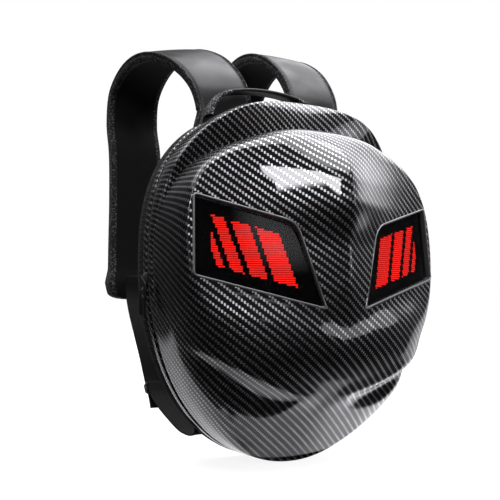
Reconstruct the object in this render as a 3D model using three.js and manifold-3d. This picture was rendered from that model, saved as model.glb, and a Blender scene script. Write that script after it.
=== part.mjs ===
import * as THREE from 'three';
import { mergeVertices } from 'three/addons/utils/BufferGeometryUtils.js';
import Module from 'manifold-3d';

// Hard-shell waterproof backpack with two display windows, shown as it is worn.
// Millimetres, +Z up, front towards -Y. The origin is the middle of the back
// panel's face, where the pack lies against the wearer.

const wasm = await Module();
wasm.setup();

// Driving dimensions
const GAP = 0.3;
const OUTLINE = { halfWidth: 170, middle: 20, up: 191.5, down: 236, squareUp: 2.48, squareDown: 2.08 };
const PANEL = { face: 0, front: -26, edge: 12, sideInset: 0.6 };
const RIM = { back: -26.3, front: -36, wall: 3, round: 1.2 };
const SHELL = {
  back: -42, wall: 2.6, apex: -196, edgeRound: 1, grooveDepth: 2, grooveLip: 4, grooveRise: [-25, 5],
};
const TAPE = { back: -30, front: -48, thickness: 1.6 };
const CHAIN = { centre: -39, width: 5.4, height: 2, from: -24, to: 204 };
const RING_STEPS = 72;
const CORNER_STEPS = 4;
const FACE_ROWS = 14;
const INNER_ROWS = 7;
const INNER_START = 1.6;
const NORMAL_STEP = 0.02;

// Shell edge by direction seen from the front: rise is degrees above the side,
// inset is how far the groove lies inside the outline, groove and crest are
// depths along Y, and fullness is the super-ellipse power of the dome there.
const EDGE = [
  { rise: -90, inset: 0, groove: -72, fullness: 2.3, crest: -62 },
  { rise: -76, inset: 0, groove: -71, fullness: 2.3, crest: -60 },
  { rise: -60, inset: 0, groove: -70, fullness: 2.35, crest: -58 },
  { rise: -50, inset: 0, groove: -69, fullness: 2.5, crest: -57 },
  { rise: -30, inset: 0, groove: -63, fullness: 3, crest: -54 },
  { rise: -10, inset: 0, groove: -57, fullness: 4, crest: -50 },
  { rise: 10, inset: 0.5, groove: -58, fullness: 5, crest: -51 },
  { rise: 24, inset: 3, groove: -67, fullness: 5.7, crest: -58 },
  { rise: 32, inset: 7, groove: -76, fullness: 5.1, crest: -66 },
  { rise: 39, inset: 12, groove: -86, fullness: 3.8, crest: -80 },
  { rise: 55, inset: 30, groove: -107, fullness: 3, crest: -101 },
  { rise: 65, inset: 36, groove: -117, fullness: 2.9, crest: -109 },
  { rise: 90, inset: 37, groove: -122, fullness: 2.5, crest: -102 },
];

// The dome is cut back by a flat facet on each side of its middle, and by a chin slope
const FACET_SOFT = 10;
const CHIN = { y: -196, z: -80, slope: 0.915, side: 0.0012, soft: 14, fade: [0, 0.15] };

// Raised and sunk forms on the shell's face
const BROW = { height: 14, half: 64, low: [36, 88], high: [108, 166] };
const KEEL = { height: 6, half: 20, blunt: 6, low: [-60, 0], high: [130, 178] };
const SHELF = { height: 4.5, rise: 0.27, start: [44, 72], end: [100, 190], side: [95, 150] };
const RIDGE = {
  z: -136, lift: 76, half: 168, power: 1.7, height: 3, spread: 12, inner: [0, 40], side: [150, 169],
};
const SCOOP = {
  middle: 105, half: 72, depth: 13, height: 40, enter: [-0.05, 0.26], leave: [0.26, 1],
  deepPower: 0.8, tallPower: 0.6, least: 1e-6,
};
const RELIEF_FADE = [0.1, 0.6];

// Display window: it lies in the flat facet, its corners given across and up from its middle
const WINDOW = {
  middle: new THREE.Vector3(100, -163.9, 32), yaw: 18.7, pitch: 6.7,
  corners: [
    { u: 64, v: 62, round: 6 }, { u: -49, v: 31.5, round: 16 },
    { u: -82, v: -65.5, round: 6 }, { u: 65, v: -28.5, round: 6 },
  ],
  cut: [-12, 45], frameWall: 2.6, frameBack: -14, lip: 0.8,
  pane: [-7, -5], display: [-11.5, -8], displayInset: 1.2,
};

// Shoulder straps, as they stand: middle line, size and tilt of each section.
// The soft straps lean a little to the right, and the right one stands taller.
const STRAPS = {
  left: [
    { x: -62, y: 6.6, z: 146, width: 58, thick: 11, tilt: 0 },
    { x: -57, y: 7, z: 184, width: 66, thick: 12.4, tilt: 0 },
    { x: -46, y: 9.6, z: 214, width: 74, thick: 13, tilt: 2 },
    { x: -49, y: 17, z: 250, width: 76, thick: 13, tilt: 6 },
    { x: -60, y: 50, z: 287, width: 76, thick: 13, tilt: 10 },
    { x: -74, y: 111, z: 312, width: 76, thick: 13, tilt: 11 },
    { x: -82, y: 170, z: 308, width: 76, thick: 13, tilt: 8 },
    { x: -86, y: 214, z: 278, width: 76, thick: 13, tilt: 4 },
    { x: -88, y: 219, z: 236, width: 76, thick: 13, tilt: 2 },
    { x: -90, y: 203, z: 190, width: 76, thick: 13, tilt: 0 },
    { x: -93, y: 193, z: 120, width: 76, thick: 13, tilt: 0 },
    { x: -96, y: 188, z: 60, width: 76, thick: 13, tilt: 0 },
    { x: -97, y: 185, z: 22, width: 77, thick: 15, tilt: 0 },
    { x: -98, y: 183, z: 4, width: 83, thick: 20, tilt: 0 },
    { x: -98, y: 182.4, z: -8, width: 78, thick: 19, tilt: 0 },
  ],
  right: [
    { x: 62, y: 6.6, z: 146, width: 58, thick: 11, tilt: 0 },
    { x: 68, y: 7, z: 184, width: 66, thick: 12.4, tilt: 0 },
    { x: 86, y: 8, z: 218, width: 74, thick: 13, tilt: 0 },
    { x: 91, y: 18, z: 254, width: 76, thick: 13, tilt: 0 },
    { x: 88, y: 46, z: 293, width: 76, thick: 13, tilt: 0 },
    { x: 83, y: 98, z: 322, width: 76, thick: 13, tilt: 1 },
    { x: 83, y: 160, z: 324, width: 76, thick: 13, tilt: 3 },
    { x: 85, y: 208, z: 292, width: 76, thick: 13, tilt: 3 },
    { x: 88, y: 221, z: 244, width: 76, thick: 13, tilt: 2 },
    { x: 90, y: 206, z: 190, width: 76, thick: 13, tilt: 0 },
    { x: 93, y: 193, z: 120, width: 76, thick: 13, tilt: 0 },
    { x: 96, y: 188, z: 60, width: 76, thick: 13, tilt: 0 },
    { x: 97, y: 185, z: 22, width: 77, thick: 15, tilt: 0 },
    { x: 98, y: 183, z: 4, width: 83, thick: 20, tilt: 0 },
    { x: 98, y: 182.4, z: -8, width: 78, thick: 19, tilt: 0 },
  ],
};
const STRAP_STEPS = 32;
const STRAP_CORNERS = 3;
const STRAP_ROUND = 0.42;

// Adjuster webbing from the strap's end to the buckle, and from there to the pack
const WEB = { width: 28, thick: 1.8, steps: 14 };
const BUCKLE = {
  x: 101, y: 94.6, z: -137, width: 36, height: 18, thick: 3, slot: 30, slotHeight: 3.8, lean: 34, web: 3.3,
};
const ADJUSTER = [
  { x: 104, y: 168.5, z: 14 }, { x: 104.5, y: 165, z: -12 }, { x: 106, y: 152, z: -34 },
  { x: 106, y: 134, z: -62 }, { x: 103, y: 115, z: -102 },
  { along: -12, side: 1 }, { along: 11, side: 1 }, { along: 26, side: 1.7 },
];
const ANCHOR = [
  { along: -8, side: -1 }, { along: 11, side: -1 }, { x: 93, y: 50, z: -171 }, { x: 86, y: 20, z: -186 },
  { x: 79, y: 5, z: -187 }, { x: 76, y: 1.7, z: -177 }, { x: 75, y: 1.5, z: -160 },
];

// Carry handle: an arch over the top of the rim
const HANDLE = {
  width: 22, thick: 5.5, y: -12, steps: 20,
  rows: [{ x: 78, z: 206 }, { x: 74, z: 219 }, { x: 61, z: 233.5 }, { x: 34, z: 241 }, { x: 0, z: 243.5 }],
};

// Zip sliders on the left side, with their pulls
const SLIDERS = [{ z: 4, pullShift: -10, pullLength: 50 }, { z: -12, pullShift: 0, pullLength: 30 }];
const SLIDER = { length: 13, width: 9, height: 4.6, shoulder: 0.6, taper: 0.72 };
const PULL = { width: 6, thick: 2.4, neck: 3.6 };

// Small helpers
const range = (count, make) => Array.from({ length: count }, (_, index) => make(index));
const radians = THREE.MathUtils.degToRad;
const step = (value, [low, high]) => THREE.MathUtils.smoothstep(value, low, high);
const bump = (value, spread) => Math.exp(-((value / spread) ** 2));

function columnAt(column, rise) {
  const last = EDGE.length - 1;
  const slope = (i) => (i === 0 || i === last ? 0
    : (EDGE[i + 1][column] - EDGE[i - 1][column]) / (EDGE[i + 1].rise - EDGE[i - 1].rise));
  const i = Math.min(last - 1, Math.max(0, EDGE.findIndex((row) => row.rise >= rise) - 1));
  const span = EDGE[i + 1].rise - EDGE[i].rise;
  const t = (rise - EDGE[i].rise) / span;
  const before = (1 + 2 * t) * (1 - t) ** 2 * EDGE[i][column] + t * (1 - t) ** 2 * span * slope(i);
  const after = t * t * (3 - 2 * t) * EDGE[i + 1][column] + t * t * (t - 1) * span * slope(i + 1);
  return before + after;
}

function outlineRadius(angle) {
  const across = Math.abs(Math.cos(angle)) / OUTLINE.halfWidth;
  const rising = Math.sin(angle) >= 0;
  const along = Math.abs(Math.sin(angle)) / (rising ? OUTLINE.up : OUTLINE.down);
  const power = rising ? OUTLINE.squareUp : OUTLINE.squareDown;
  return (across ** power + along ** power) ** (-1 / power);
}

function edgeAt(angle) {
  const rise = THREE.MathUtils.radToDeg(Math.asin(Math.sin(angle)));
  const radius = outlineRadius(angle);
  const inset = columnAt('inset', rise);
  return {
    radius, inset,
    groove: columnAt('groove', rise),
    crest: columnAt('crest', rise),
    fullness: columnAt('fullness', rise),
    grooveDepth: SHELL.grooveDepth * step(rise, SHELL.grooveRise),
  };
}

function around(angle, radius, y) {
  return new THREE.Vector3(radius * Math.cos(angle), y, OUTLINE.middle + radius * Math.sin(angle));
}

// Window facet
const windowAxes = (() => {
  const yaw = radians(WINDOW.yaw);
  const pitch = radians(WINDOW.pitch);
  const across = new THREE.Vector3(Math.cos(yaw), Math.sin(yaw), 0);
  const level = new THREE.Vector3(Math.sin(yaw), -Math.cos(yaw), 0);
  const out = level.multiplyScalar(Math.cos(pitch)).setZ(Math.sin(pitch));
  const up = out.clone().cross(across);
  return { across, up, out };
})();

function facetDepth(x, z) {
  const { middle } = WINDOW;
  const { out } = windowAxes;
  return middle.y - (out.x * (Math.abs(x) - middle.x) + out.z * (z - middle.z)) / out.y;
}

// Shell surface
function reliefAt(x, z) {
  const side = Math.abs(x);
  const brow = BROW.height * step(z, BROW.low) * (1 - step(z, BROW.high)) * bump(side, BROW.half);
  const keel = KEEL.height * Math.exp((KEEL.blunt - Math.hypot(side, KEEL.blunt)) / KEEL.half)
    * step(z, KEEL.low) * (1 - step(z, KEEL.high));
  const shelf = SHELF.height * step(SHELF.rise * side - z, SHELF.start)
    * (1 - step(-z, SHELF.end)) * (1 - step(side, SHELF.side));
  const above = z - (RIDGE.z + RIDGE.lift * (side / RIDGE.half) ** RIDGE.power);
  const ridge = RIDGE.height * bump(above, RIDGE.spread)
    * step(side, RIDGE.inner) * (1 - step(side, RIDGE.side));
  const share = Math.max(1 - ((side - SCOOP.middle) / SCOOP.half) ** 2, SCOOP.least);
  const down = -above / (SCOOP.height * share ** SCOOP.tallPower);
  const scoop = SCOOP.depth * share ** SCOOP.deepPower
    * step(down, SCOOP.enter) * (1 - step(down, SCOOP.leave));
  return brow + keel + shelf + ridge - scoop;
}

function softMax(a, b, soft) {
  const share = THREE.MathUtils.clamp(0.5 + (a - b) / (2 * soft), 0, 1);
  return b + (a - b) * share + soft * share * (1 - share);
}

function facePoint(angle, tilt) {
  const edge = edgeAt(angle);
  const cos = Math.cos(tilt);
  const sin = Math.sin(tilt);
  const reach = (cos ** edge.fullness + sin ** edge.fullness) ** (-1 / edge.fullness);
  const height = reach * sin;
  const point = around(angle, (edge.radius - edge.inset) * reach * cos, 0);
  const dome = edge.groove + (SHELL.apex - edge.groove) * height;
  const flat = softMax(dome, facetDepth(point.x, point.z), FACET_SOFT);
  const chin = CHIN.y + CHIN.slope * (CHIN.z - point.z) + CHIN.side * point.x ** 2;
  const cut = THREE.MathUtils.lerp(flat, softMax(flat, chin, CHIN.soft), step(height, CHIN.fade));
  point.y = cut - reliefAt(point.x, point.z) * step(height, RELIEF_FADE);
  return point;
}

function faceNormal(angle, tilt) {
  const by = NORMAL_STEP;
  const low = THREE.MathUtils.clamp(tilt, by, Math.PI / 2 - 3 * by);
  const alongAngle = facePoint(angle + by, low).sub(facePoint(angle - by, low));
  const alongTilt = facePoint(angle, low + by).sub(facePoint(angle, low - by));
  return alongAngle.cross(alongTilt).normalize();
}

function bandRows(angle, grow) {
  const { radius, inset, groove, crest, grooveDepth } = edgeAt(angle);
  const lip = groove + SHELL.grooveLip;
  const rows = [
    { radius: radius - SHELL.edgeRound, y: SHELL.back },
    { radius, y: SHELL.back - 2 },
    { radius, y: crest },
    { radius: radius - 0.1 * inset, y: crest + 0.3 * (lip - crest) },
    { radius: radius - 0.45 * inset, y: crest + 0.7 * (lip - crest) },
    { radius: radius - 0.95 * inset, y: lip },
    { radius: radius - inset - grooveDepth, y: lip - 1 },
  ];
  return rows.map((row) => around(angle, row.radius + grow, row.y));
}

function innerBandRows(angle) {
  const { radius, inset, groove, crest, grooveDepth } = edgeAt(angle);
  const lip = groove + SHELL.grooveLip;
  const rows = [
    { radius: radius - SHELL.wall, y: SHELL.back },
    { radius: radius - SHELL.wall, y: crest + 1 },
    { radius: radius - 0.45 * inset - SHELL.wall, y: crest + 0.7 * (lip - crest) + SHELL.wall },
    { radius: radius - inset - grooveDepth - SHELL.wall, y: lip + 1.5 },
  ];
  return rows.map((row) => around(angle, row.radius, row.y));
}

// Loops of points stitched into a closed skin; a loop of one point is a pole
function stitched(loops, joinEnds) {
  const positions = [];
  const starts = loops.map((loop) => {
    const start = positions.length / 3;
    loop.forEach((point) => positions.push(point.x, point.y, point.z));
    return start;
  });
  const faces = [];
  const pairs = range(loops.length - (joinEnds ? 0 : 1), (i) => [i, (i + 1) % loops.length]);
  pairs.forEach(([a, b]) => {
    const count = Math.max(loops[a].length, loops[b].length);
    if (count === 1) return;
    range(count, (i) => {
      const next = (i + 1) % count;
      const index = (loop, k) => starts[loop] + (loops[loop].length === 1 ? 0 : k);
      if (loops[b].length > 1) faces.push(index(a, i), index(b, next), index(b, i));
      if (loops[a].length > 1) faces.push(index(a, i), index(a, next), index(b, next));
    });
  });
  const geometry = new THREE.BufferGeometry();
  geometry.setAttribute('position', new THREE.Float32BufferAttribute(positions, 3));
  geometry.setIndex(faces);
  return facingOut(geometry);
}

function facingOut(geometry) {
  const position = geometry.getAttribute('position');
  const index = geometry.getIndex().array;
  const [a, b, c] = range(3, () => new THREE.Vector3());
  let volume = 0;
  for (let i = 0; i < index.length; i += 3) {
    a.fromBufferAttribute(position, index[i]);
    b.fromBufferAttribute(position, index[i + 1]);
    c.fromBufferAttribute(position, index[i + 2]);
    volume += a.dot(b.cross(c));
  }
  if (volume < 0) {
    for (let i = 0; i < index.length; i += 3) [index[i], index[i + 1]] = [index[i + 1], index[i]];
  }
  return geometry;
}

function welded(geometry) {
  const bare = geometry.clone();
  bare.deleteAttribute('normal');
  bare.deleteAttribute('uv');
  return facingOut(mergeVertices(bare, 1e-4));
}

function toSolid(geometry) {
  const vertProperties = new Float32Array(geometry.getAttribute('position').array);
  const triVerts = new Uint32Array(geometry.getIndex().array);
  return new wasm.Manifold(new wasm.Mesh({ numProp: 3, vertProperties, triVerts }));
}

function toGeometry(solid) {
  const mesh = solid.getMesh();
  const geometry = new THREE.BufferGeometry();
  geometry.setAttribute('position', new THREE.Float32BufferAttribute(mesh.vertProperties, 3));
  geometry.setIndex(Array.from(mesh.triVerts));
  return geometry;
}

const middleOf = (loop) => loop.reduce((sum, p) => sum.add(p), new THREE.Vector3()).divideScalar(loop.length);
const capped = (loops) => [[middleOf(loops[0])], ...loops, [middleOf(loops.at(-1))]];
const ringAngles = range(RING_STEPS, (i) => (2 * Math.PI * i) / RING_STEPS);
const outlineLoop = (inset, y) => ringAngles.map((angle) => around(angle, outlineRadius(angle) - inset, y));
const columnsToLoops = (columns) => columns[0].map((_, row) => columns.map((column) => column[row]));

// Front shell: a dome with a rim wall, a groove and two window openings
function outerLoops(grow) {
  const bands = columnsToLoops(ringAngles.map((angle) => bandRows(angle, grow)));
  const faces = range(FACE_ROWS, (row) => {
    const tilt = (Math.PI / 2) * (row / FACE_ROWS);
    return ringAngles.map((angle) => facePoint(angle, tilt)
      .addScaledVector(faceNormal(angle, tilt), grow));
  });
  const apex = facePoint(0, Math.PI / 2);
  apex.y -= grow;
  return [...bands, ...faces, [apex]];
}

function innerLoops() {
  const bands = columnsToLoops(ringAngles.map(innerBandRows));
  const faces = range(INNER_ROWS, (row) => {
    const tilt = (Math.PI / 2) * ((row + INNER_START) / (INNER_ROWS + INNER_START));
    return ringAngles.map((angle) => facePoint(angle, tilt)
      .addScaledVector(faceNormal(angle, tilt), -SHELL.wall));
  });
  const apex = facePoint(0, Math.PI / 2);
  apex.y += SHELL.wall;
  return [...bands, ...faces, [apex]].reverse();
}

function insetCorners(inset) {
  const { corners } = WINDOW;
  const side = (i) => {
    const from = corners[i % corners.length];
    const to = corners[(i + 1) % corners.length];
    const along = new THREE.Vector2(to.u - from.u, to.v - from.v).normalize();
    const inward = new THREE.Vector2(-along.y, along.x);
    return { start: new THREE.Vector2(from.u, from.v).addScaledVector(inward, inset), along };
  };
  return corners.map((corner, i) => {
    const before = side(i + corners.length - 1);
    const after = side(i);
    const t = after.start.clone().sub(before.start).cross(after.along) / before.along.cross(after.along);
    const point = before.start.clone().addScaledVector(before.along, t);
    return { point, before: before.along, after: after.along, round: Math.max(1, corner.round - inset) };
  });
}

function windowPrism(inset, back, front, mirror) {
  const shape = new THREE.Shape();
  insetCorners(inset).forEach(({ point, before, after, round }, i) => {
    const into = point.clone().addScaledVector(before, -round);
    const away = point.clone().addScaledVector(after, round);
    if (i === 0) shape.moveTo(into.x, into.y);
    else shape.lineTo(into.x, into.y);
    shape.quadraticCurveTo(point.x, point.y, away.x, away.y);
  });
  shape.closePath();
  const options = { depth: front - back, bevelEnabled: false, curveSegments: CORNER_STEPS };
  const geometry = new THREE.ExtrudeGeometry(shape, options);
  const { across, up, out } = windowAxes;
  geometry.translate(0, 0, back);
  geometry.applyMatrix4(new THREE.Matrix4().makeBasis(across, up, out).setPosition(WINDOW.middle));
  geometry.scale(mirror, 1, 1);
  return welded(geometry);
}

function frontShell() {
  let shell = toSolid(stitched([...outerLoops(0), ...innerLoops()], true));
  [-1, 1].forEach((mirror) => {
    shell = shell.subtract(toSolid(windowPrism(0, ...WINDOW.cut, mirror)));
  });
  return toGeometry(shell);
}

function visorFrame(mirror) {
  const [, front] = WINDOW.cut;
  const outer = toSolid(windowPrism(GAP, WINDOW.frameBack, front, mirror));
  const hollow = toSolid(windowPrism(GAP + WINDOW.frameWall, WINDOW.frameBack - 1, front + 1, mirror));
  const loops = outerLoops(WINDOW.lip);
  const dome = toSolid(stitched([[middleOf(loops[0])], ...loops], false));
  return toGeometry(outer.subtract(hollow).intersect(dome));
}

const visorPane = (mirror) => windowPrism(2 * GAP + WINDOW.frameWall, ...WINDOW.pane, mirror);
function displayPanel(mirror) {
  return windowPrism(WINDOW.frameWall + WINDOW.displayInset, ...WINDOW.display, mirror);
}

// Bands that follow the outline
function backPanel() {
  const { face, front, edge, sideInset } = PANEL;
  const rows = [
    { inset: sideInset + 4, y: front },
    { inset: sideInset, y: front + 2 },
    { inset: sideInset, y: face - edge + 3 },
    { inset: sideInset + 2.5, y: face - 3 },
    { inset: sideInset + edge, y: face },
  ];
  return stitched(capped(rows.map((row) => outlineLoop(row.inset, row.y))), false);
}

function rearRim() {
  const { back, front, wall, round } = RIM;
  const rows = [
    { inset: wall, y: back }, { inset: round, y: back }, { inset: 0, y: back - round },
    { inset: 0, y: front + round }, { inset: round, y: front }, { inset: wall, y: front },
  ];
  return stitched(rows.map((row) => outlineLoop(row.inset, row.y)), true);
}

function zipTape() {
  const outer = RIM.wall + GAP;
  const rows = [
    { inset: outer, y: TAPE.back }, { inset: outer, y: TAPE.front },
    { inset: outer + TAPE.thickness, y: TAPE.front }, { inset: outer + TAPE.thickness, y: TAPE.back },
  ];
  return stitched(rows.map((row) => outlineLoop(row.inset, row.y)), true);
}

function zipChain() {
  const shape = [
    { across: 1, height: 0 }, { across: 0.8, height: 0.7 }, { across: 0, height: 1 },
    { across: -0.8, height: 0.7 }, { across: -1, height: 0 },
  ];
  const section = shape.map(({ across, height }) => ({
    inset: RIM.wall - height * CHAIN.height,
    y: CHAIN.centre + (across * CHAIN.width) / 2,
  }));
  const stepAngle = 360 / RING_STEPS;
  const count = Math.round((CHAIN.to - CHAIN.from) / stepAngle) + 1;
  const loops = range(count, (i) => {
    const angle = radians(CHAIN.from + ((CHAIN.to - CHAIN.from) * i) / (count - 1));
    return section.map((row) => around(angle, outlineRadius(angle) - row.inset, row.y));
  });
  return stitched(capped(loops), false);
}

// Strips swept along a smooth line, with their flat side kept level in X
function pathOf(rows, side) {
  const points = rows.map((row) => new THREE.Vector3(side * row.x, row.y, row.z));
  return new THREE.CatmullRomCurve3(points, false, 'centripetal');
}

function sizeAlong(rows, t, column) {
  const place = t * (rows.length - 1);
  const i = Math.min(rows.length - 2, Math.floor(place));
  return THREE.MathUtils.lerp(rows[i][column], rows[i + 1][column], place - i);
}

function roundedSection(width, thick, corners, round) {
  const radius = round * thick;
  return [[1, 1], [-1, 1], [-1, -1], [1, -1]].flatMap(([h, v], quarter) => range(corners, (i) => {
    const angle = (Math.PI / 2) * (quarter + (corners === 1 ? 0.5 : i / (corners - 1)));
    const reach = corners === 1 ? 0 : radius;
    return new THREE.Vector2(
      h * (width / 2 - reach) + reach * Math.cos(angle),
      v * (thick / 2 - reach) + reach * Math.sin(angle),
    );
  }));
}

function swept(path, steps, sectionAt, tiltAt = () => 0) {
  const loops = range(steps + 1, (i) => {
    const t = i / steps;
    const centre = path.getPoint(t);
    const tangent = path.getTangent(t);
    const wide = new THREE.Vector3(1, 0, 0).addScaledVector(tangent, -tangent.x).normalize();
    wide.applyAxisAngle(tangent, tiltAt(t));
    const flat = tangent.clone().cross(wide);
    return sectionAt(t).map((p) => centre.clone().addScaledVector(wide, p.x).addScaledVector(flat, p.y));
  });
  return stitched(capped(loops), false);
}

function shoulderStrap(name, side) {
  const rows = STRAPS[name];
  const section = (t) => roundedSection(
    sizeAlong(rows, t, 'width'), sizeAlong(rows, t, 'thick'), STRAP_CORNERS, STRAP_ROUND);
  return swept(pathOf(rows, 1), STRAP_STEPS, section, (t) => radians(side * sizeAlong(rows, t, 'tilt')));
}

// A point beside the buckle, so far along it and on its outer or inner side
function besideBuckle(row) {
  const lean = radians(BUCKLE.lean);
  const offset = row.side * BUCKLE.web;
  return {
    x: BUCKLE.x,
    y: BUCKLE.y - row.along * Math.sin(lean) + offset * Math.cos(lean),
    z: BUCKLE.z - row.along * Math.cos(lean) - offset * Math.sin(lean),
  };
}

function webbing(rows, side) {
  const placed = rows.map((row) => ('along' in row ? besideBuckle(row) : row));
  return swept(pathOf(placed, side), WEB.steps, () => roundedSection(WEB.width, WEB.thick, 1, 0));
}

function adjusterBuckle(side) {
  const { x, y, z, width, height, thick, slot, slotHeight, lean } = BUCKLE;
  const shape = new THREE.Shape();
  const cut = 4;
  const [w, h] = [width / 2, height / 2];
  shape.moveTo(-w + cut, -h).lineTo(w - cut, -h).lineTo(w, -h + cut).lineTo(w, h - cut);
  shape.lineTo(w - cut, h).lineTo(-w + cut, h).lineTo(-w, h - cut).lineTo(-w, -h + cut).closePath();
  [-1, 1].forEach((place) => {
    const middle = place * (height / 4 - 0.4);
    const hole = new THREE.Path();
    hole.moveTo(-slot / 2, middle - slotHeight / 2).lineTo(slot / 2, middle - slotHeight / 2);
    hole.lineTo(slot / 2, middle + slotHeight / 2).lineTo(-slot / 2, middle + slotHeight / 2).closePath();
    shape.holes.push(hole);
  });
  const geometry = new THREE.ExtrudeGeometry(shape, { depth: thick, bevelEnabled: false });
  geometry.translate(0, 0, -thick / 2);
  geometry.rotateX(radians(90 - lean));
  geometry.translate(side * x, y, z);
  return welded(geometry);
}

function carryHandle() {
  const { width, thick, y, steps, rows } = HANDLE;
  const mirrored = rows.slice(0, -1).reverse().map((row) => ({ x: -row.x, z: row.z }));
  const points = [...rows, ...mirrored].map((row) => new THREE.Vector3(row.x, y, row.z));
  const path = new THREE.CatmullRomCurve3(points, false, 'centripetal');
  const wide = new THREE.Vector3(0, 1, 0);
  const loops = range(steps + 1, (i) => {
    const centre = path.getPoint(i / steps);
    const flat = path.getTangent(i / steps).cross(wide);
    return roundedSection(width, thick, 2, 0.35)
      .map((p) => centre.clone().addScaledVector(wide, p.x).addScaledVector(flat, p.y));
  });
  return stitched(capped(loops), false);
}

const sideAngle = (z) => Math.PI - Math.asin((z - OUTLINE.middle) / OUTLINE.halfWidth);

function zipSlider(row) {
  const angle = sideAngle(row.z);
  const low = outlineRadius(angle) + GAP;
  const rows = [
    { height: 0, share: 1 },
    { height: SLIDER.height * SLIDER.shoulder, share: 1 },
    { height: SLIDER.height, share: SLIDER.taper },
  ];
  const loops = rows.map(({ height, share }) => {
    const [l, w] = [(SLIDER.length * share) / 2, (SLIDER.width * share) / 2];
    return [[-l, -w], [l, -w], [l, w], [-l, w]]
      .map(([along, across]) => new THREE.Vector3(-low - height, CHAIN.centre + across, row.z + along));
  });
  return stitched(capped(loops), false);
}

function zipPull(row) {
  const angle = sideAngle(row.z);
  const x = -(outlineRadius(angle) + SLIDER.height + 2 * GAP);
  const top = row.z + SLIDER.length * 0.2;
  const rows = [
    { drop: 0, width: PULL.neck, shift: 0 }, { drop: 6, width: PULL.neck, shift: 0.7 },
    { drop: 10, width: PULL.width, shift: 1 }, { drop: row.pullLength - 3, width: PULL.width, shift: 1 },
    { drop: row.pullLength, width: PULL.width * 0.5, shift: 1 },
  ];
  const loops = rows.map(({ drop, width, shift }) => [[0, -1], [1, -1], [1, 1], [0, 1]]
    .map(([out, across]) => new THREE.Vector3(
      x - out * PULL.thick, CHAIN.centre + shift * row.pullShift + (across * width) / 2, top - drop)));
  return stitched(capped(loops), false);
}

// Finishes
function finish(color, roughness, metalness = 0) {
  return new THREE.MeshStandardMaterial({ color, roughness, metalness });
}
const FINISHES = {
  shell: finish(0x1b1c1e, 0.22),
  frame: finish(0x0b0b0c, 0.35),
  pane: finish(0x0a0a0c, 0.05),
  display: finish(0xc81410, 0.45),
  tape: finish(0x111112, 0.85),
  metal: finish(0x2a2b2d, 0.4, 0.6),
  rubber: finish(0x151516, 0.6),
  mesh: finish(0x101011, 0.9),
  web: finish(0x131314, 0.8),
  plastic: finish(0x161617, 0.45),
};

const backpack = new THREE.Group();
function add(name, geometry, material) {
  geometry.computeVertexNormals();
  const mesh = new THREE.Mesh(geometry, material);
  mesh.name = name;
  backpack.add(mesh);
}

add('front_shell', frontShell(), FINISHES.shell);
add('rear_rim', rearRim(), FINISHES.shell);
add('back_panel', backPanel(), FINISHES.mesh);
add('zip_tape', zipTape(), FINISHES.tape);
add('zip_chain', zipChain(), FINISHES.tape);
SLIDERS.forEach((row, i) => {
  add(`zip_slider_${i + 1}`, zipSlider(row), FINISHES.metal);
  add(`zip_pull_${i + 1}`, zipPull(row), FINISHES.rubber);
});
[['left', -1], ['right', 1]].forEach(([name, side]) => {
  add(`visor_frame_${name}`, visorFrame(side), FINISHES.frame);
  add(`visor_pane_${name}`, visorPane(side), FINISHES.pane);
  add(`display_panel_${name}`, displayPanel(side), FINISHES.display);
  add(`shoulder_strap_${name}`, shoulderStrap(name, side), FINISHES.mesh);
  add(`adjuster_webbing_${name}`, webbing(ADJUSTER, side), FINISHES.web);
  add(`adjuster_buckle_${name}`, adjusterBuckle(side), FINISHES.plastic);
  add(`anchor_webbing_${name}`, webbing(ANCHOR, side), FINISHES.web);
});
add('carry_handle', carryHandle(), FINISHES.rubber);

export default backpack;
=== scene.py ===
import math
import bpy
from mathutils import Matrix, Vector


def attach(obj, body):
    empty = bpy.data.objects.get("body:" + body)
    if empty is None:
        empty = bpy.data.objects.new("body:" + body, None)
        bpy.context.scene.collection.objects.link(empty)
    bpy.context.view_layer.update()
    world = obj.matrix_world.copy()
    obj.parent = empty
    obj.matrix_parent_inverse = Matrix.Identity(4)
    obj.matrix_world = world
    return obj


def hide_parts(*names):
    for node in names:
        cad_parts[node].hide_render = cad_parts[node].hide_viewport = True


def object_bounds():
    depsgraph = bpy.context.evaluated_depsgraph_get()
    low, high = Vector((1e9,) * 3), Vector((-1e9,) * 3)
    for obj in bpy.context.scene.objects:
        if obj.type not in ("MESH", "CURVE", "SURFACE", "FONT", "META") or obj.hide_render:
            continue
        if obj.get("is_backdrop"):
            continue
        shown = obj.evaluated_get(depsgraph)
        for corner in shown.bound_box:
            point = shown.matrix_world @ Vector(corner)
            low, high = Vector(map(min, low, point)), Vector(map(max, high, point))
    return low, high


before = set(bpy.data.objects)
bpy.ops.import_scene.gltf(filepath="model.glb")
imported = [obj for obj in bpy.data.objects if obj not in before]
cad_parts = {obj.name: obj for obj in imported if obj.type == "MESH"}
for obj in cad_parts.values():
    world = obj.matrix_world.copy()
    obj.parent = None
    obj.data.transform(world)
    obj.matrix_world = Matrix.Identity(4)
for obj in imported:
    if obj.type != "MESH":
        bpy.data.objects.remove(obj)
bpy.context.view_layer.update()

from types import SimpleNamespace as Sizes

import bmesh
import bpy
import numpy as np
from mathutils import Matrix, Vector
from mathutils.bvhtree import BVHTree

MM = 0.001
BODY = "root"
UV_UNIT = 100.0
MERGE = Sizes(loops=1e-7, copies=1e-6)
LEAST_SPAN = 1e-4

# Sizes of the hard shell, in millimetres: x to the right, y towards the wearer, z up
GAP = 0.3
OUTLINE = Sizes(half_width=170.0, middle=20.0, up=191.5, down=236.0, square_up=2.48, square_down=2.08)
SHELL = Sizes(back=-42.0, wall=2.6, apex=-196.0, edge_round=1.0, edge_deep=2.0, groove_depth=2.0,
              groove_lip=4.0, groove_step=1.0, inner_crest=1.0, inner_lip=1.5, sharp=42.0)
GROOVE_RISE = (-25.0, 5.0)
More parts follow.
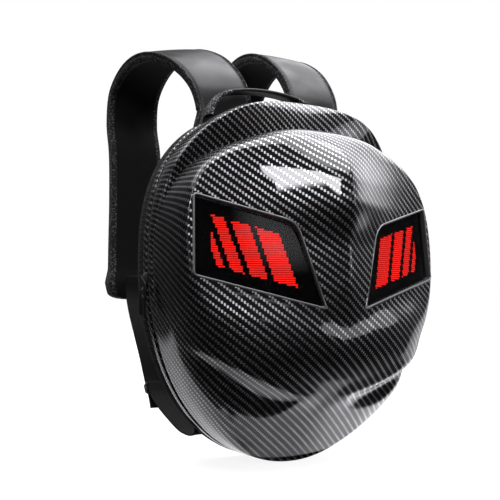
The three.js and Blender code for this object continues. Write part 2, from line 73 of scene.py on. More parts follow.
# The bevel between the crest and the groove: shares of the inset, and of the way from the crest to the lip
BEVEL_ROWS = ((0.1, 0.3), (0.45, 0.7), (0.95, 1.0))
EDGE_COLUMNS = ("rise", "inset", "groove", "fullness", "crest")
EDGE_ROWS = np.array([
    (-90, 0.0, -72, 2.30, -62),
    (-76, 0.0, -71, 2.30, -60),
    (-60, 0.0, -70, 2.35, -58),
    (-50, 0.0, -69, 2.50, -57),
    (-30, 0.0, -63, 3.00, -54),
    (-10, 0.0, -57, 4.00, -50),
    (10, 0.5, -58, 5.00, -51),
    (24, 3.0, -67, 5.70, -58),
    (32, 7.0, -76, 5.10, -66),
    (39, 12.0, -86, 3.80, -80),
    (55, 30.0, -107, 3.00, -101),
    (65, 36.0, -117, 2.90, -109),
    (90, 37.0, -122, 2.50, -102),
])
FACET_SOFT = 10.0
CHIN = Sizes(y=-196.0, z=-80.0, slope=0.915, side=0.0012, soft=14.0, fade=(0.0, 0.15))
BROW = Sizes(height=14.0, half=64.0, low=(36.0, 88.0), high=(108.0, 166.0))
KEEL = Sizes(height=6.0, half=20.0, blunt=6.0, low=(-60.0, 0.0), high=(130.0, 178.0))
SHELF = Sizes(height=4.5, rise=0.27, start=(44.0, 72.0), end=(100.0, 190.0), side=(95.0, 150.0))
RIDGE = Sizes(z=-136.0, lift=76.0, half=168.0, power=1.7, height=3.0, spread=12.0,
              inner=(0.0, 40.0), side=(150.0, 169.0))
SCOOP = Sizes(middle=105.0, half=72.0, depth=13.0, height=40.0, enter=(-0.05, 0.26), leave=(0.26, 1.0),
              deep_power=0.8, tall_power=0.6, least=1e-6)
RELIEF_FADE = (0.1, 0.6)
SHELL_STEPS = 320
BAND_STEPS = 5
FACE_ROWS = 120
INNER_ROWS = 20
INNER_START = 24
WEAVE_ARC_SHARE = 0.8

# Display windows: corners across and up in the window's own plane, with a rounding
WINDOW = Sizes(middle=np.array((100.0, -163.9, 32.0)), yaw=18.7, pitch=6.7, cut=(-12.0, 45.0),
               frame_back=-14.0, display_front=-8.0, display_inset=6.4, fit_rounds=8)
WINDOW_CORNERS = ((64.0, 62.0, 6.0), (-49.0, 31.5, 16.0), (-82.0, -65.5, 6.0), (65.0, -28.5, 6.0))
CORNER_STEPS = 10
# Section of a window's frame: inset past the gap, and height over the shell's face, or None at the back
FRAME_ROWS = ((0.0, None), (0.0, 0.1), (0.35, 0.65), (0.9, 0.9), (1.5, 0.85), (2.1, 0.5), (2.5, -0.2),
              (2.6, -1.2), (2.6, None))
# Rows of the frame's outer lip, which is painted light grey as a painted highlight
LIP_HIGHLIGHT_ROWS = (1, 2)
LIGHT = Sizes(pitch=2.4, wide=2.25, high=1.7, deep=0.5, sunk=0.05, edge=2.0, margin=17.0, outer_margin=22.0)
LIGHT_BARS = ((22.0, 44.0), (50.0, 67.0), (73.0, 85.0), (91.0, 98.0))

# Back panel and its two pads, with rows of inset and y, and the stitches on all sewn pieces
PANEL_ROWS = ((4.6, -26.0), (0.6, -24.0), (0.6, -9.0), (3.1, -3.0), (12.6, 0.0))
PANEL = Sizes(steps=220, edge_rows=33, face=(0.97, 0.03), face_rows=60)
PAD = Sizes(x=72.0, z=-4.0, half=(47.0, 116.0), power=3.0, rise=(0.62, 1.0), sunk=1.5, border=16.0,
            voxel=5.0, pressure=4.0, frames=20, cap=8.0, seam=1.3, seam_wide=2.6, above=40.0,
            seam_points=240, least_slope=1e-3, least_move=1e-6)
STITCH = Sizes(pitch=4.4, length=3.0, width=0.7, height=0.5)

# Rim and zip
RING_STEPS = 288
RING_SHARP = 50.0
BOX_STEPS = 32
RIM = Sizes(back=-26.3, front=-36.0, wall=3.0, round=1.2, round_steps=5, weave_start=30.0)
TAPE = Sizes(back=-30.0, front=-48.0, thickness=1.6)
CHAIN = Sizes(centre=-39.0, rise=1.24, start=-24.0, end=204.0, steps=400, pitch=2.6, row=0.95)
TOOTH = Sizes(length=1.7, width=3.4, height=1.9)
# Sliders: height of each, sideways shift and length of its pull; then the sections of a slider and of a pull
SLIDER_ROWS = ((4.0, -10.0, 50.0), (-12.0, 0.0, 30.0))
SLIDER = Sizes(length=13.0, width=9.0, height=4.6, waist=2.4, bridge=0.62, square=5.0)
SLIDER_SHARES = ((0.0, 0.97), (0.3, 1.0), (1.6, 1.0), (2.2, 0.94), (2.6, 0.7), (3.4, 0.62), (4.1, 0.56),
                 (4.5, 0.45), (SLIDER.height, 0.3))
PULL = Sizes(width=6.0, thick=2.4, start=0.2, middle=0.6, square=3.2)
PULL_TOP = ((0.0, 2.4, 0.0, 0.5), (0.6, 3.2, 0.0, 0.8), (3.0, 3.6, 0.2, 0.85), (6.0, 3.6, 0.7, 0.85),
            (9.0, 5.4, 0.98, 1.0), (12.0, 6.0, 1.0, 1.0))
PULL_TIP = ((6.0, 6.0, 1.0), (3.0, 5.6, 0.95), (1.2, 4.4, 0.8), (0.0, 2.4, 0.45))

# Shoulder straps: middle line, width, thickness and turn, from the top of the panel to the lower end
STRAP_ROWS = {
    "left": np.array([
        (-62, 6.6, 146, 58, 11, 0), (-57, 7, 184, 66, 12.4, 0), (-46, 9.6, 214, 74, 13, 2),
        (-49, 17, 250, 76, 13, 6), (-60, 50, 287, 76, 13, 10), (-74, 111, 312, 76, 13, 11),
        (-82, 170, 308, 76, 13, 8), (-86, 214, 278, 76, 13, 4), (-88, 219, 236, 76, 13, 2),
        (-90, 203, 190, 76, 13, 0), (-93, 193, 120, 76, 13, 0), (-96, 188, 60, 76, 13, 0),
        (-97, 185, 22, 77, 15, 0), (-98, 183, 4, 83, 20, 0), (-98, 182.4, -8, 78, 19, 0),
    ], float),
    "right": np.array([
        (62, 6.6, 146, 58, 11, 0), (68, 7, 184, 66, 12.4, 0), (86, 8, 218, 74, 13, 0),
        (91, 18, 254, 76, 13, 0), (88, 46, 293, 76, 13, 0), (83, 98, 322, 76, 13, 1),
        (83, 160, 324, 76, 13, 3), (85, 208, 292, 76, 13, 3), (88, 221, 244, 76, 13, 2),
        (90, 206, 190, 76, 13, 0), (93, 193, 120, 76, 13, 0), (96, 188, 60, 76, 13, 0),
        (97, 185, 22, 77, 15, 0), (98, 183, 4, 83, 20, 0), (98, 182.4, -8, 78, 19, 0),
    ], float),
}
SIDES = {"left": -1.0, "right": 1.0}
STRAP_STEPS = 220
STRAP_END_STEPS = 6
STRAP = Sizes(face_low=0.6, crown=1.5, crown_power=0.7, seam_in=4.6, seam=(0.5, 1.5), piping=1.6,
              pipe_turn=(150.0, -50.0), band_in=0.6, band=(4.6, 3.0), corner=2.6, corner_turn=(10.0, 90.0),
              lining_crown=0.8, end_round=7.0, roll=11.0, end_square=0.6, end_least=0.02, stitch_in=2.4)
STRAP_POINTS = Sizes(face=10, pipe=8, band=6, corner=5, lining=9)
STRAP_ZONES = Sizes(face=0, band=1, lining=2)

# Webbing through the buckles, and the carry handle
WEB = Sizes(width=28.0, thick=1.8, steps=90, edge_points=7, face_points=13)
BUCKLE = Sizes(x=101.0, y=94.6, z=-137.0, lean=34.0, web=3.3, bevel=0.7, sharp=35.0)
ADJUSTER_ROWS = (("at", 104, 168.5, 14), ("at", 104.5, 165, -12), ("at", 106, 152, -34),
                 ("at", 106, 134, -62), ("at", 103, 115, -102),
                 ("beside", -12, 1), ("beside", 11, 1), ("beside", 26, 1.7))
ANCHOR_ROWS = (("beside", -8, -1), ("beside", 11, -1), ("at", 93, 50, -171), ("at", 86, 20, -186),
               ("at", 79, 5, -187), ("at", 76, 1.7, -177), ("at", 75, 1.5, -160))
TACK = Sizes(x=75.5, low=-175.5, high=-161.5, half=11.0, y=(2.58, 2.42), side_points=12)
HANDLE = Sizes(width=22.0, thick=5.5, y=-12.0, steps=120, points=40, square=(0.45, 0.7), sewn_end=48.0,
               stitch_at=(8.0, 2.5))
HANDLE_ROWS = ((78, 206), (74, 219), (61, 233.5), (34, 241), (0, 243.5),
               (-34, 241), (-61, 233.5), (-74, 219), (-78, 206))

# Twill print: cell and relief in millimetres, and where a float fades, as shares of its row and column
TWILL = Sizes(wide=3.0, high=2.4, period=4.0, fade_up=(0.20, 0.12), fade_across=(0.42, 0.26), ground=0.002,
              floats=(0.31, 0.43), roughness=(0.5, 0.32), relief=0.25, coat_roughness=0.02)
COOL = 1.03

# Camera that matches the photograph, and the studio
CAMERA = Sizes(place=(-0.541, -0.953, -0.027), turn=-30.0, sensor=36.0, lens=61.2, near=0.01,
               shift=(-0.03, 0.11))
FLOOR = Sizes(half=5.0, drop=0.0006, tones=(0.20, 0.22), glow=0.88)
ROOM_TONE = 0.03
# Soft lights round the room: direction, cosines where it starts and where it is full, radiance
ROOM_GLOWS = (
    ((0.06, -0.16, 0.985), 0.81, 0.85, 5.2),
    ((0.75, 0.35, -0.56), 0.90, 0.96, 0.85),
    ((0.908, 0.243, -0.342), 0.913, 0.951, 0.9),
    ((0.729, 0.237, 0.643), 0.809, 0.914, 2.4),
    ((0.602, -0.771, 0.208), 0.972, 0.982, 1.9),
    ((0.806, -0.504, 0.309), 0.968, 0.978, 1.6),
    ((-0.925, -0.163, 0.342), 0.906, 0.966, 0.5),
    ((-0.242, 0.664, 0.707), 0.94, 0.985, 1.8),
    ((-0.079, -0.941, 0.329), 0.9972, 0.9995, 1.3),
    ((0.6, 0.8, 0.1), 0.50, 0.90, 0.15),
)
# Light panels: corners as degrees to the right of the front and above level, softness of the edges, radiance
ROOM_PANELS = (
    (((-20.6, 20.4), (-15.0, 26.4), (-28.6, 38.0), (-28.6, 20.2)), 0.004, 17.5),
    (((-115, -74), (-145, -33), (-154, -13), (150, -12), (103, -36), (91, -56), (92, -74)), 0.03, 0.72),
)


# Numbers
def step_between(value, bounds):
    share = np.clip((value - bounds[0]) / (bounds[1] - bounds[0]), 0, 1)
    return share * share * (3 - 2 * share)


def bump_at(value, spread):
    return np.exp(-((value / spread) ** 2))


def soft_max(a, b, soft):
    share = np.clip(0.5 + (a - b) / (2 * soft), 0, 1)
    return b + (a - b) * share + soft * share * (1 - share)


def unit(vectors):
    return vectors / np.linalg.norm(vectors, axis=-1, keepdims=True)


def smooth_through(points, places):
    """A centripetal curve through points (count, ..., axes), read at places from 0 to count - 1."""
    points = np.asarray(points, float)
    first, last = 2 * points[0] - points[1], 2 * points[-1] - points[-2]
    padded = np.concatenate([first[None], points, last[None]])
    spans = np.linalg.norm(np.diff(padded, axis=0), axis=-1, keepdims=True) ** 0.5
    spans = np.maximum(spans, LEAST_SPAN)
    read = []
    for place in places:
        i = min(int(place), len(points) - 2)
        p0, p1, p2, p3 = padded[i:i + 4]
        d0, d1, d2 = spans[i:i + 3]
        leave = ((p1 - p0) / d0 - (p2 - p0) / (d0 + d1) + (p2 - p1) / d1) * d1
        arrive = ((p2 - p1) / d1 - (p3 - p1) / (d1 + d2) + (p3 - p2) / d2) * d1
        t = place - i
        read.append(p1 + leave * t + (3 * (p2 - p1) - 2 * leave - arrive) * t ** 2
                    + (2 * (p1 - p2) + leave + arrive) * t ** 3)
    return np.array(read)


# Meshes
def link(name, mesh, materials=()):
    piece = bpy.data.objects.new(name, mesh)
    bpy.context.scene.collection.objects.link(piece)
    for material in materials:
        mesh.materials.append(material)
    return piece


def face_outwards(mesh, merge=0.0):
    work = bmesh.new()
    work.from_mesh(mesh)
    if merge:
        bmesh.ops.remove_doubles(work, verts=work.verts, dist=merge)
    bmesh.ops.recalc_face_normals(work, faces=work.faces)
    work.to_mesh(mesh)
    work.free()


def loft(name, loops, materials, uv=None, zones=None, join_ends=False, caps=True, merge=0.0, smooth=True):
    """A skin over loops (rows, columns, 3) in millimetres; uv has one row and one column more to close on."""
    rows, columns = loops.shape[:2]
    spans = rows if join_ends else rows - 1
    i, j = np.meshgrid(np.arange(spans), np.arange(columns), indexing="ij")
    below, beside = (i + 1) % rows, (j + 1) % columns
    quads = np.stack([i * columns + j, i * columns + beside,
                      below * columns + beside, below * columns + j], -1).reshape(-1, 4)
    faces = quads.tolist()
    ends = [] if join_ends or not caps else [0, rows - 1]
    for end in ends:
        faces.append([end * columns + column for column in range(columns)])
    mesh = bpy.data.meshes.new(name)
    mesh.from_pydata((loops.reshape(-1, 3) * MM).tolist(), [], faces)
    if uv is not None:
        corners = [np.stack([uv[i, j], uv[i, j + 1], uv[i + 1, j + 1], uv[i + 1, j]], 2).reshape(-1, 2)]
        corners += [uv[end, :columns] for end in ends]
        layer = mesh.uv_layers.new(name="weave")
        layer.data.foreach_set("uv", (np.concatenate(corners) / UV_UNIT).astype(np.float32).ravel())
    if zones is not None:
        picked = np.concatenate([np.broadcast_to(zones, (spans, columns)).ravel(), np.zeros(len(ends), int)])
        mesh.polygons.foreach_set("material_index", picked.astype(np.int32))
    mesh.polygons.foreach_set("use_smooth", [smooth] * len(mesh.polygons))
    face_outwards(mesh, merge)
    return link(name, mesh, materials)


def settled(piece):
    """The piece's mesh with its modifiers applied, on a new plain object of the same name."""
    graph = bpy.context.evaluated_depsgraph_get()
    mesh = bpy.data.meshes.new_from_object(piece.evaluated_get(graph))
    name = piece.name
    bpy.data.objects.remove(piece)
    mesh.name = name
    return link(name, mesh)


def sharpen(piece, degrees):
    piece.data.set_sharp_from_angle(angle=math.radians(degrees))


def with_bevel(piece, width, segments=3, degrees=30.0):
    bevel = piece.modifiers.new("bevel", "BEVEL")
    bevel.width = width * MM
    bevel.segments = segments
    bevel.limit_method = "ANGLE"
    bevel.angle_limit = math.radians(degrees)
    bevel.harden_normals = False
    return settled(piece)


def cad_copy(node, name, material):
    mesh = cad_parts[node].data.copy()
    mesh.materials.clear()
    work = bmesh.new()
    work.from_mesh(mesh)
    bmesh.ops.remove_doubles(work, verts=work.verts, dist=MERGE.copies)
    bmesh.ops.dissolve_limit(work, angle_limit=math.radians(1), verts=work.verts, edges=work.edges)
    work.to_mesh(mesh)
    work.free()
    return link(name, mesh, [material])


# Geometry node trees for what repeats
def new_tree(name, sizes):
    tree = bpy.data.node_groups.new(name, "GeometryNodeTree")
    tree.interface.new_socket("Geometry", in_out="INPUT", socket_type="NodeSocketGeometry")
    for label, kind in sizes:
        tree.interface.new_socket(label, in_out="INPUT", socket_type=f"NodeSocket{kind}")
    tree.interface.new_socket("Geometry", in_out="OUTPUT", socket_type="NodeSocketGeometry")
    return tree


def tree_node(tree, kind, inputs, **settings):
    made = tree.nodes.new(kind)
    for key, value in settings.items():
        setattr(made, key, value)
    for key, value in inputs.items():
        if isinstance(value, bpy.types.NodeSocket):
            tree.links.new(value, made.inputs[key])
        else:
            made.inputs[key].default_value = value
    return made


def close_tree(tree, instances, material, smooth):
    real = tree_node(tree, "GeometryNodeRealizeInstances", {"Geometry": instances})
    shaded = tree_node(tree, "GeometryNodeSetShadeSmooth",
                       {"Geometry": real.outputs["Geometry"], "Shade Smooth": smooth})
    painted = tree_node(tree, "GeometryNodeSetMaterial",
                        {"Geometry": shaded.outputs["Geometry"], "Material": material})
    tree_node(tree, "NodeGroupOutput", {"Geometry": painted.outputs["Geometry"]})


def grain_tree():
    """Rounded grains, such as stitches or teeth, at an even pitch along a path with an outward direction."""
    tree = new_tree("grains_along_path", [("Pitch", "Float"), ("Length", "Float"), ("Width", "Float"),
                                          ("Height", "Float"), ("Material", "Material")])
    given = tree_node(tree, "NodeGroupInput", {}).outputs
    path = tree_node(tree, "GeometryNodeMeshToCurve", {"Mesh": given["Geometry"]})
    even = tree_node(tree, "GeometryNodeResampleCurve",
                     {"Curve": path.outputs["Curve"], "Length": given["Pitch"]}, mode="LENGTH")
    ball = tree_node(tree, "GeometryNodeMeshUVSphere", {"Segments": 8, "Rings": 5, "Radius": 0.5})
    size = tree_node(tree, "ShaderNodeCombineXYZ",
                     {"X": given["Length"], "Y": given["Width"], "Z": given["Height"]})
    grain = tree_node(tree, "GeometryNodeTransform",
                      {"Geometry": ball.outputs["Mesh"], "Scale": size.outputs["Vector"]})
    along = tree_node(tree, "GeometryNodeInputTangent", {})
    out = tree_node(tree, "GeometryNodeInputNamedAttribute", {"Name": "out"}, data_type="FLOAT_VECTOR")
    turn = tree_node(tree, "FunctionNodeAxesToRotation",
                     {"Primary Axis": along.outputs["Tangent"], "Secondary Axis": out.outputs["Attribute"]},
                     primary_axis="X", secondary_axis="Z")
    placed = tree_node(tree, "GeometryNodeInstanceOnPoints",
                       {"Points": even.outputs["Curve"], "Instance": grain.outputs["Geometry"],
                        "Rotation": turn.outputs["Rotation"]})
    close_tree(tree, placed.outputs["Instances"], given["Material"], True)
    return tree


def dot_tree():
    """Small flat blocks on points, all turned the same way, for the lights behind a window."""
    tree = new_tree("dots_on_board", [("Width", "Float"), ("Height", "Float"), ("Depth", "Float"),
                                      ("Turn", "Vector"), ("Material", "Material")])
    given = tree_node(tree, "NodeGroupInput", {}).outputs
    points = tree_node(tree, "GeometryNodeMeshToPoints", {"Mesh": given["Geometry"]})
    size = tree_node(tree, "ShaderNodeCombineXYZ",
                     {"X": given["Width"], "Y": given["Height"], "Z": given["Depth"]})
    block = tree_node(tree, "GeometryNodeMeshCube", {"Size": size.outputs["Vector"]})
    turn = tree_node(tree, "FunctionNodeEulerToRotation", {"Euler": given["Turn"]})
    placed = tree_node(tree, "GeometryNodeInstanceOnPoints",
                       {"Points": points.outputs["Points"], "Instance": block.outputs["Mesh"],
                        "Rotation": turn.outputs["Rotation"]})
    close_tree(tree, placed.outputs["Instances"], given["Material"], False)
    return tree


def grown(name, mesh, tree, values):
    """Runs a tree on a mesh and keeps the result as a plain mesh piece."""
    piece = link(name, mesh)
    modifier = piece.modifiers.new("nodes", "NODES")
    modifier.node_group = tree
    for item in tree.interface.items_tree:
        if item.in_out == "INPUT" and item.name in values:
            modifier[item.identifier] = values[item.name]
    return settled(piece)


def path_mesh(name, points, out, closed=False):
    """A line of points in millimetres, with the outward direction kept on each point."""
    count = len(points)
    edges = [(i, (i + 1) % count) for i in range(count if closed else count - 1)]
    mesh = bpy.data.meshes.new(name)
    mesh.from_pydata((np.asarray(points) * MM).tolist(), edges, [])
    layer = mesh.attributes.new("out", "FLOAT_VECTOR", "POINT")
    layer.data.foreach_set("vector", np.asarray(out, np.float32).ravel())
    return mesh


# Shader nodes
class Finish:
    """One material, with short ways to add its nodes."""

    def __init__(self, name):
        self.material = bpy.data.materials.new(name)
        self.material.use_nodes = True
        self.tree = self.material.node_tree
        self.tree.nodes.clear()

    def add(self, kind, inputs=None, **settings):
        return tree_node(self.tree, kind, inputs or {}, **settings)

    def math(self, operation, a, b=0.0):
        return self.add("ShaderNodeMath", {0: a, 1: b}, operation=operation).outputs[0]

    def ramp(self, value, low, high, to_low=0.0, to_high=1.0):
        return self.add("ShaderNodeMapRange", {"Value": value, "From Min": low, "From Max": high,
                                               "To Min": to_low, "To Max": to_high},
                        interpolation_type="SMOOTHSTEP").outputs["Result"]

    def blend(self, share, a, b):
        return self.add("ShaderNodeMix", {0: share, 6: a, 7: b}, data_type="RGBA").outputs[2]

    def noise(self, vector, scale, detail=2.0):
        inputs = {"Vector": vector, "Scale": scale, "Detail": detail}
        return self.add("ShaderNodeTexNoise", inputs).outputs["Fac"]

    def place(self):
        return self.add("ShaderNodeTexCoord").outputs["Object"]

    def weave_place(self):
        """The piece's own surface coordinates, in millimetres."""
        flat = self.add("ShaderNodeUVMap", uv_map="weave").outputs["UV"]
        scaled = self.add("ShaderNodeVectorMath", {0: flat, 1: (UV_UNIT,) * 3}, operation="MULTIPLY")
        return scaled.outputs["Vector"]

    def split(self, vector):
        return self.add("ShaderNodeSeparateXYZ", {"Vector": vector}).outputs

    def relief(self, height, distance, strength=1.0):
        made = self.add("ShaderNodeBump", {"Height": height, "Distance": distance * MM, "Strength": strength})
        return made.outputs["Normal"]

    def wave(self, value, period):
        """0 to 1 and back over each period."""
        return self.math("PINGPONG", self.math("DIVIDE", value, period / 2), 1.0)

    def close(self, inputs):
        shader = self.add("ShaderNodeBsdfPrincipled", inputs)
        self.add("ShaderNodeOutputMaterial", {"Surface": shader.outputs["BSDF"]})
        return self.material


def grey(value):
    return (value, value, value * COOL, 1.0)


def carbon_finish(name):
    """Clear coat over a twill: small bright floats step down to the right on a black ground."""
    made = Finish(name)
    across, up, _ = made.split(made.weave_place())
    column = made.math("DIVIDE", across, TWILL.wide)
    whole = made.math("FLOOR", column)
    in_column = made.math("ABSOLUTE", made.math("SUBTRACT", made.math("FRACT", column), 0.5))
    row = made.math("DIVIDE", made.math("ADD", made.math("DIVIDE", up, TWILL.high), whole), TWILL.period)
    in_row = made.math("ABSOLUTE", made.math("SUBTRACT", made.math("FRACT", row), 0.5))
    float_mask = made.math("MULTIPLY", made.ramp(in_row, *TWILL.fade_up),
                           made.ramp(in_column, *TWILL.fade_across))
    patch = made.noise(made.place(), 55.0, 1.0)
    bright = made.blend(made.ramp(patch, 0.3, 0.7), *map(grey, TWILL.floats))
    return made.close({
        "Base Color": made.blend(float_mask, grey(TWILL.ground), bright),
        "Metallic": float_mask,
        "Roughness": made.ramp(float_mask, 0.0, 1.0, *TWILL.roughness),
        "Specular IOR Level": 0.05,
        "Normal": made.relief(float_mask, TWILL.relief, 0.5),
        "Coat Weight": 1.0, "Coat Roughness": TWILL.coat_roughness, "Coat IOR": 1.5,
    })


def moulded_finish(name, tone, roughness, grain=900.0, depth=0.05, gloss=0.5):
    made = Finish(name)
    place = made.place()
    fine = made.noise(place, grain, 2.0)
    broad = made.noise(place, 35.0, 2.0)
    return made.close({
        "Base Color": made.blend(broad, grey(tone * 0.75), grey(tone * 1.25)),
        "Roughness": made.ramp(fine, 0.2, 0.8, roughness - 0.07, roughness + 0.07),
        "Normal": made.relief(fine, depth, 0.4),
        "Specular IOR Level": gloss,
    })


def pane_finish():
    made = Finish("smoked_pane_clear")
    haze = made.noise(made.place(), 40.0, 2.0)
    return made.close({
        "Base Color": made.blend(haze, grey(0.48), grey(0.54)),
        "Roughness": made.ramp(haze, 0.2, 0.8, 0.0, 0.025),
        "IOR": 1.3, "Transmission Weight": 1.0,
    })


def board_finish():
    made = Finish("display_board_black")
    height = made.split(made.place())["Z"]
    lines = made.wave(height, LIGHT.pitch * MM)
    return made.close({
        "Base Color": made.blend(lines, grey(0.002), grey(0.005)),
        "Roughness": made.ramp(lines, 0.0, 1.0, 0.6, 0.8),
        "Specular IOR Level": 0.1,
    })


def light_finish(name, colour, strength):
    made = Finish(name)
    spread = made.noise(made.place(), 260.0, 1.0)
    shade = tuple(part * 0.72 for part in colour[:3]) + (1.0,)
    return made.close({
        "Base Color": made.blend(spread, colour, shade),
        "Roughness": made.ramp(spread, 0.0, 1.0, 0.5, 0.7),
        "Specular IOR Level": 0.1,
        "Emission Color": made.blend(spread, colour, shade),
        "Emission Strength": strength,
    })


def cloth_finish(name, tone, thread, depth, roughness, sheen, bright=1.8, gloss=0.5):
    """Plain weave on the piece's own surface coordinates, with painted shade in the hollows between the
    threads.
    """
    made = Finish(name)
    along, across, _ = made.split(made.weave_place())
    warp, weft = made.wave(along, thread), made.wave(across, thread)
    height = made.math("MAXIMUM", made.math("POWER", warp, 0.7), made.math("POWER", weft, 0.7))
    patch = made.noise(made.place(), 120.0, 3.0)
    # Painted shade: thread tops lighter (bright times the tone) and the hollows between them darker, with a
    # random patchy tone on top
    colour = made.blend(made.math("MULTIPLY", height, patch), grey(tone * 0.7), grey(tone * bright))
    worn = made.noise(made.place(), 28.0, 4.0)
    return made.close({
        "Base Color": colour,
        "Roughness": made.ramp(worn, 0.3, 0.7, roughness - 0.08, roughness + 0.1),
        "Normal": made.relief(height, depth, 0.6),
        "Specular IOR Level": gloss, "Sheen Weight": sheen, "Sheen Roughness": 0.45,
    })


def knit_finish(name, tone, sparkle, stitch, depth):
    """Rows of small V stitches, painted darker in their hollows as shade, with specks of painted glint as a
    faint sparkle.
    """
    made = Finish(name)
    along, across, _ = made.split(made.weave_place())
    lean = made.math("MULTIPLY", made.wave(across, stitch), stitch * 0.5)
    loop = made.wave(made.math("ADD", along, lean), stitch * 0.62)
    rib = made.wave(across, stitch)
    height = made.math("MULTIPLY", loop, made.ramp(rib, 0.0, 0.5, 0.35, 1.0))
    # Painted glint: light grey specks in the base colour that stand in for light catching the fibres; sparkle
    # is their grey
    painted_glint = made.ramp(made.noise(made.place(), 450.0, 1.0), 0.54, 0.64)
    # Painted shade: the loops' tops lighter and the hollows between them darker
    base = made.blend(height, grey(tone * 0.45), grey(tone * 1.5))
    return made.close({
        "Base Color": made.blend(made.math("MULTIPLY", painted_glint, height), base, grey(sparkle)),
        "Roughness": 0.85,
        "Normal": made.relief(height, depth, 0.8),
        "Specular IOR Level": 0.3, "Sheen Weight": 0.04, "Sheen Roughness": 0.5,
    })


def air_mesh_finish(name, tone, cell, on_surface):
    """Open spacer mesh: staggered round holes in a dark knit, the holes painted near black as the shade
    inside them.
    """
    made = Finish(name)
    if on_surface:
        a, b, _ = made.split(made.weave_place())
    else:
        x, _, z = made.split(made.place())
        a, b = made.math("DIVIDE", x, MM), made.math("DIVIDE", z, MM)
    row = made.math("DIVIDE", b, cell * 0.87)
    shift = made.math("MULTIPLY", made.math("MODULO", made.math("FLOOR", row), 2.0), 0.5)
    column = made.math("ADD", made.math("DIVIDE", a, cell), shift)
    off_x = made.math("SUBTRACT", made.math("FRACT", column), 0.5)
    off_z = made.math("SUBTRACT", made.math("FRACT", row), 0.5)
    square = made.math("ADD", made.math("MULTIPLY", off_x, off_x), made.math("MULTIPLY", off_z, off_z))
    wall = made.ramp(square, 0.05, 0.14)
    patch = made.noise(made.place(), 300.0, 2.0)
    body = made.blend(patch, grey(tone * 0.8), grey(tone * 1.7))
    return made.close({
        # Painted shade: the holes are near black, standing in for the shade inside them
        "Base Color": made.blend(wall, grey(tone * 0.15), body),
        "Roughness": 0.9,
        "Normal": made.relief(wall, 0.5, 0.8),
        "Specular IOR Level": 0.15, "Sheen Weight": 0.02, "Sheen Roughness": 0.5,
    })


def ribbed_finish(name, tone):
    """Webbing: chevron ribs across the tape, painted lighter on the ribs and darker between them as shade."""
    made = Finish(name)
    along, across, _ = made.split(made.weave_place())
    zigzag = made.math("MULTIPLY", made.wave(across, 7.0), 3.0)
    rib = made.wave(made.math("ADD", along, zigzag), 1.7)
    cord = made.wave(across, 1.4)
    height = made.math("ADD", made.math("MULTIPLY", rib, 0.6), made.math("MULTIPLY", cord, 0.4))
    return made.close({
        # Painted shade: ribs and cords lighter, the grooves between them darker
        "Base Color": made.blend(height, grey(tone * 0.5), grey(tone * 1.7)),
        "Roughness": made.ramp(height, 0.0, 1.0, 0.85, 0.6),
        "Normal": made.relief(height, 0.35, 0.8),
        "Specular IOR Level": 0.12, "Sheen Weight": 0.015, "Sheen Roughness": 0.5,
    })


def floor_finish():
    made = Finish("studio_floor")
    soft = made.noise(made.place(), 0.6, 2.0)
    return made.close({
        "Base Color": made.blend(soft, *((tone, tone, tone, 1.0) for tone in FLOOR.tones)),
        "Roughness": 0.9,
        "Emission Color": (1.0, 1.0, 1.0, 1.0), "Emission Strength": FLOOR.glow,
    })


FINISHES = Sizes(
    shell=carbon_finish("carbon_shell_weave"),
    frame=moulded_finish("visor_frame_satin", tone=0.045, roughness=0.12, gloss=1.0),
    # The lip's light grey tone is a painted highlight along the frame's edge; the frame itself is near black
    lip=moulded_finish("visor_frame_lip_painted_highlight", tone=0.22, roughness=0.12, gloss=1.0),
    pane=pane_finish(),
    board=board_finish(),
    lit=light_finish("red_lights", colour=(1.0, 0.018, 0.012, 1.0), strength=1.8),
    unlit=light_finish("dark_lights", colour=(0.006, 0.003, 0.003, 1.0), strength=0.0),
    tape=cloth_finish("zip_tape_weave", tone=0.006, thread=0.9, depth=0.1, roughness=0.85, sheen=0.04,
                      gloss=0.3),
    teeth=moulded_finish("zip_teeth", tone=0.012, roughness=0.4),
    metal=moulded_finish("zip_slider_paint", tone=0.02, roughness=0.3),
    rubber=moulded_finish("rubber_satin", tone=0.005, roughness=0.42, gloss=0.26),
    # sparkle sets the grey of each knit's painted glint specks
    sewn=knit_finish("handle_end_knit", tone=0.03, sparkle=0.8, stitch=2.4, depth=0.4),
    satin=cloth_finish("strap_satin", tone=0.003, thread=0.55, depth=0.03, roughness=0.36, sheen=0.01,
                       bright=1.3, gloss=0.34),
    knit=knit_finish("strap_edge_knit", tone=0.006, sparkle=0.24, stitch=1.8, depth=0.35),
    lining=air_mesh_finish("strap_lining_mesh", tone=0.0045, cell=2.6, on_surface=True),
    panel=air_mesh_finish("panel_air_mesh", tone=0.016, cell=3.4, on_surface=False),
    web=ribbed_finish("webbing_ribs", tone=0.004),
    buckle=moulded_finish("buckle_satin", tone=0.012, roughness=0.38),
    thread=moulded_finish("sewing_thread", tone=0.03, roughness=0.6, grain=2500.0, depth=0.1),
)
GRAINS = grain_tree()
DOTS = dot_tree()


# Shape of the shell
def outline_radius(angle):
    """Distance of the outline from the middle, on one rounded form above it and another below."""
    across, rise = np.abs(np.cos(angle)) / OUTLINE.half_width, np.sin(angle)
    halves = []
    for height, square in ((OUTLINE.up, OUTLINE.square_up), (OUTLINE.down, OUTLINE.square_down)):
        halves.append((across ** square + (np.abs(rise) / height) ** square) ** (-1 / square))
    return np.where(rise >= 0, *halves)


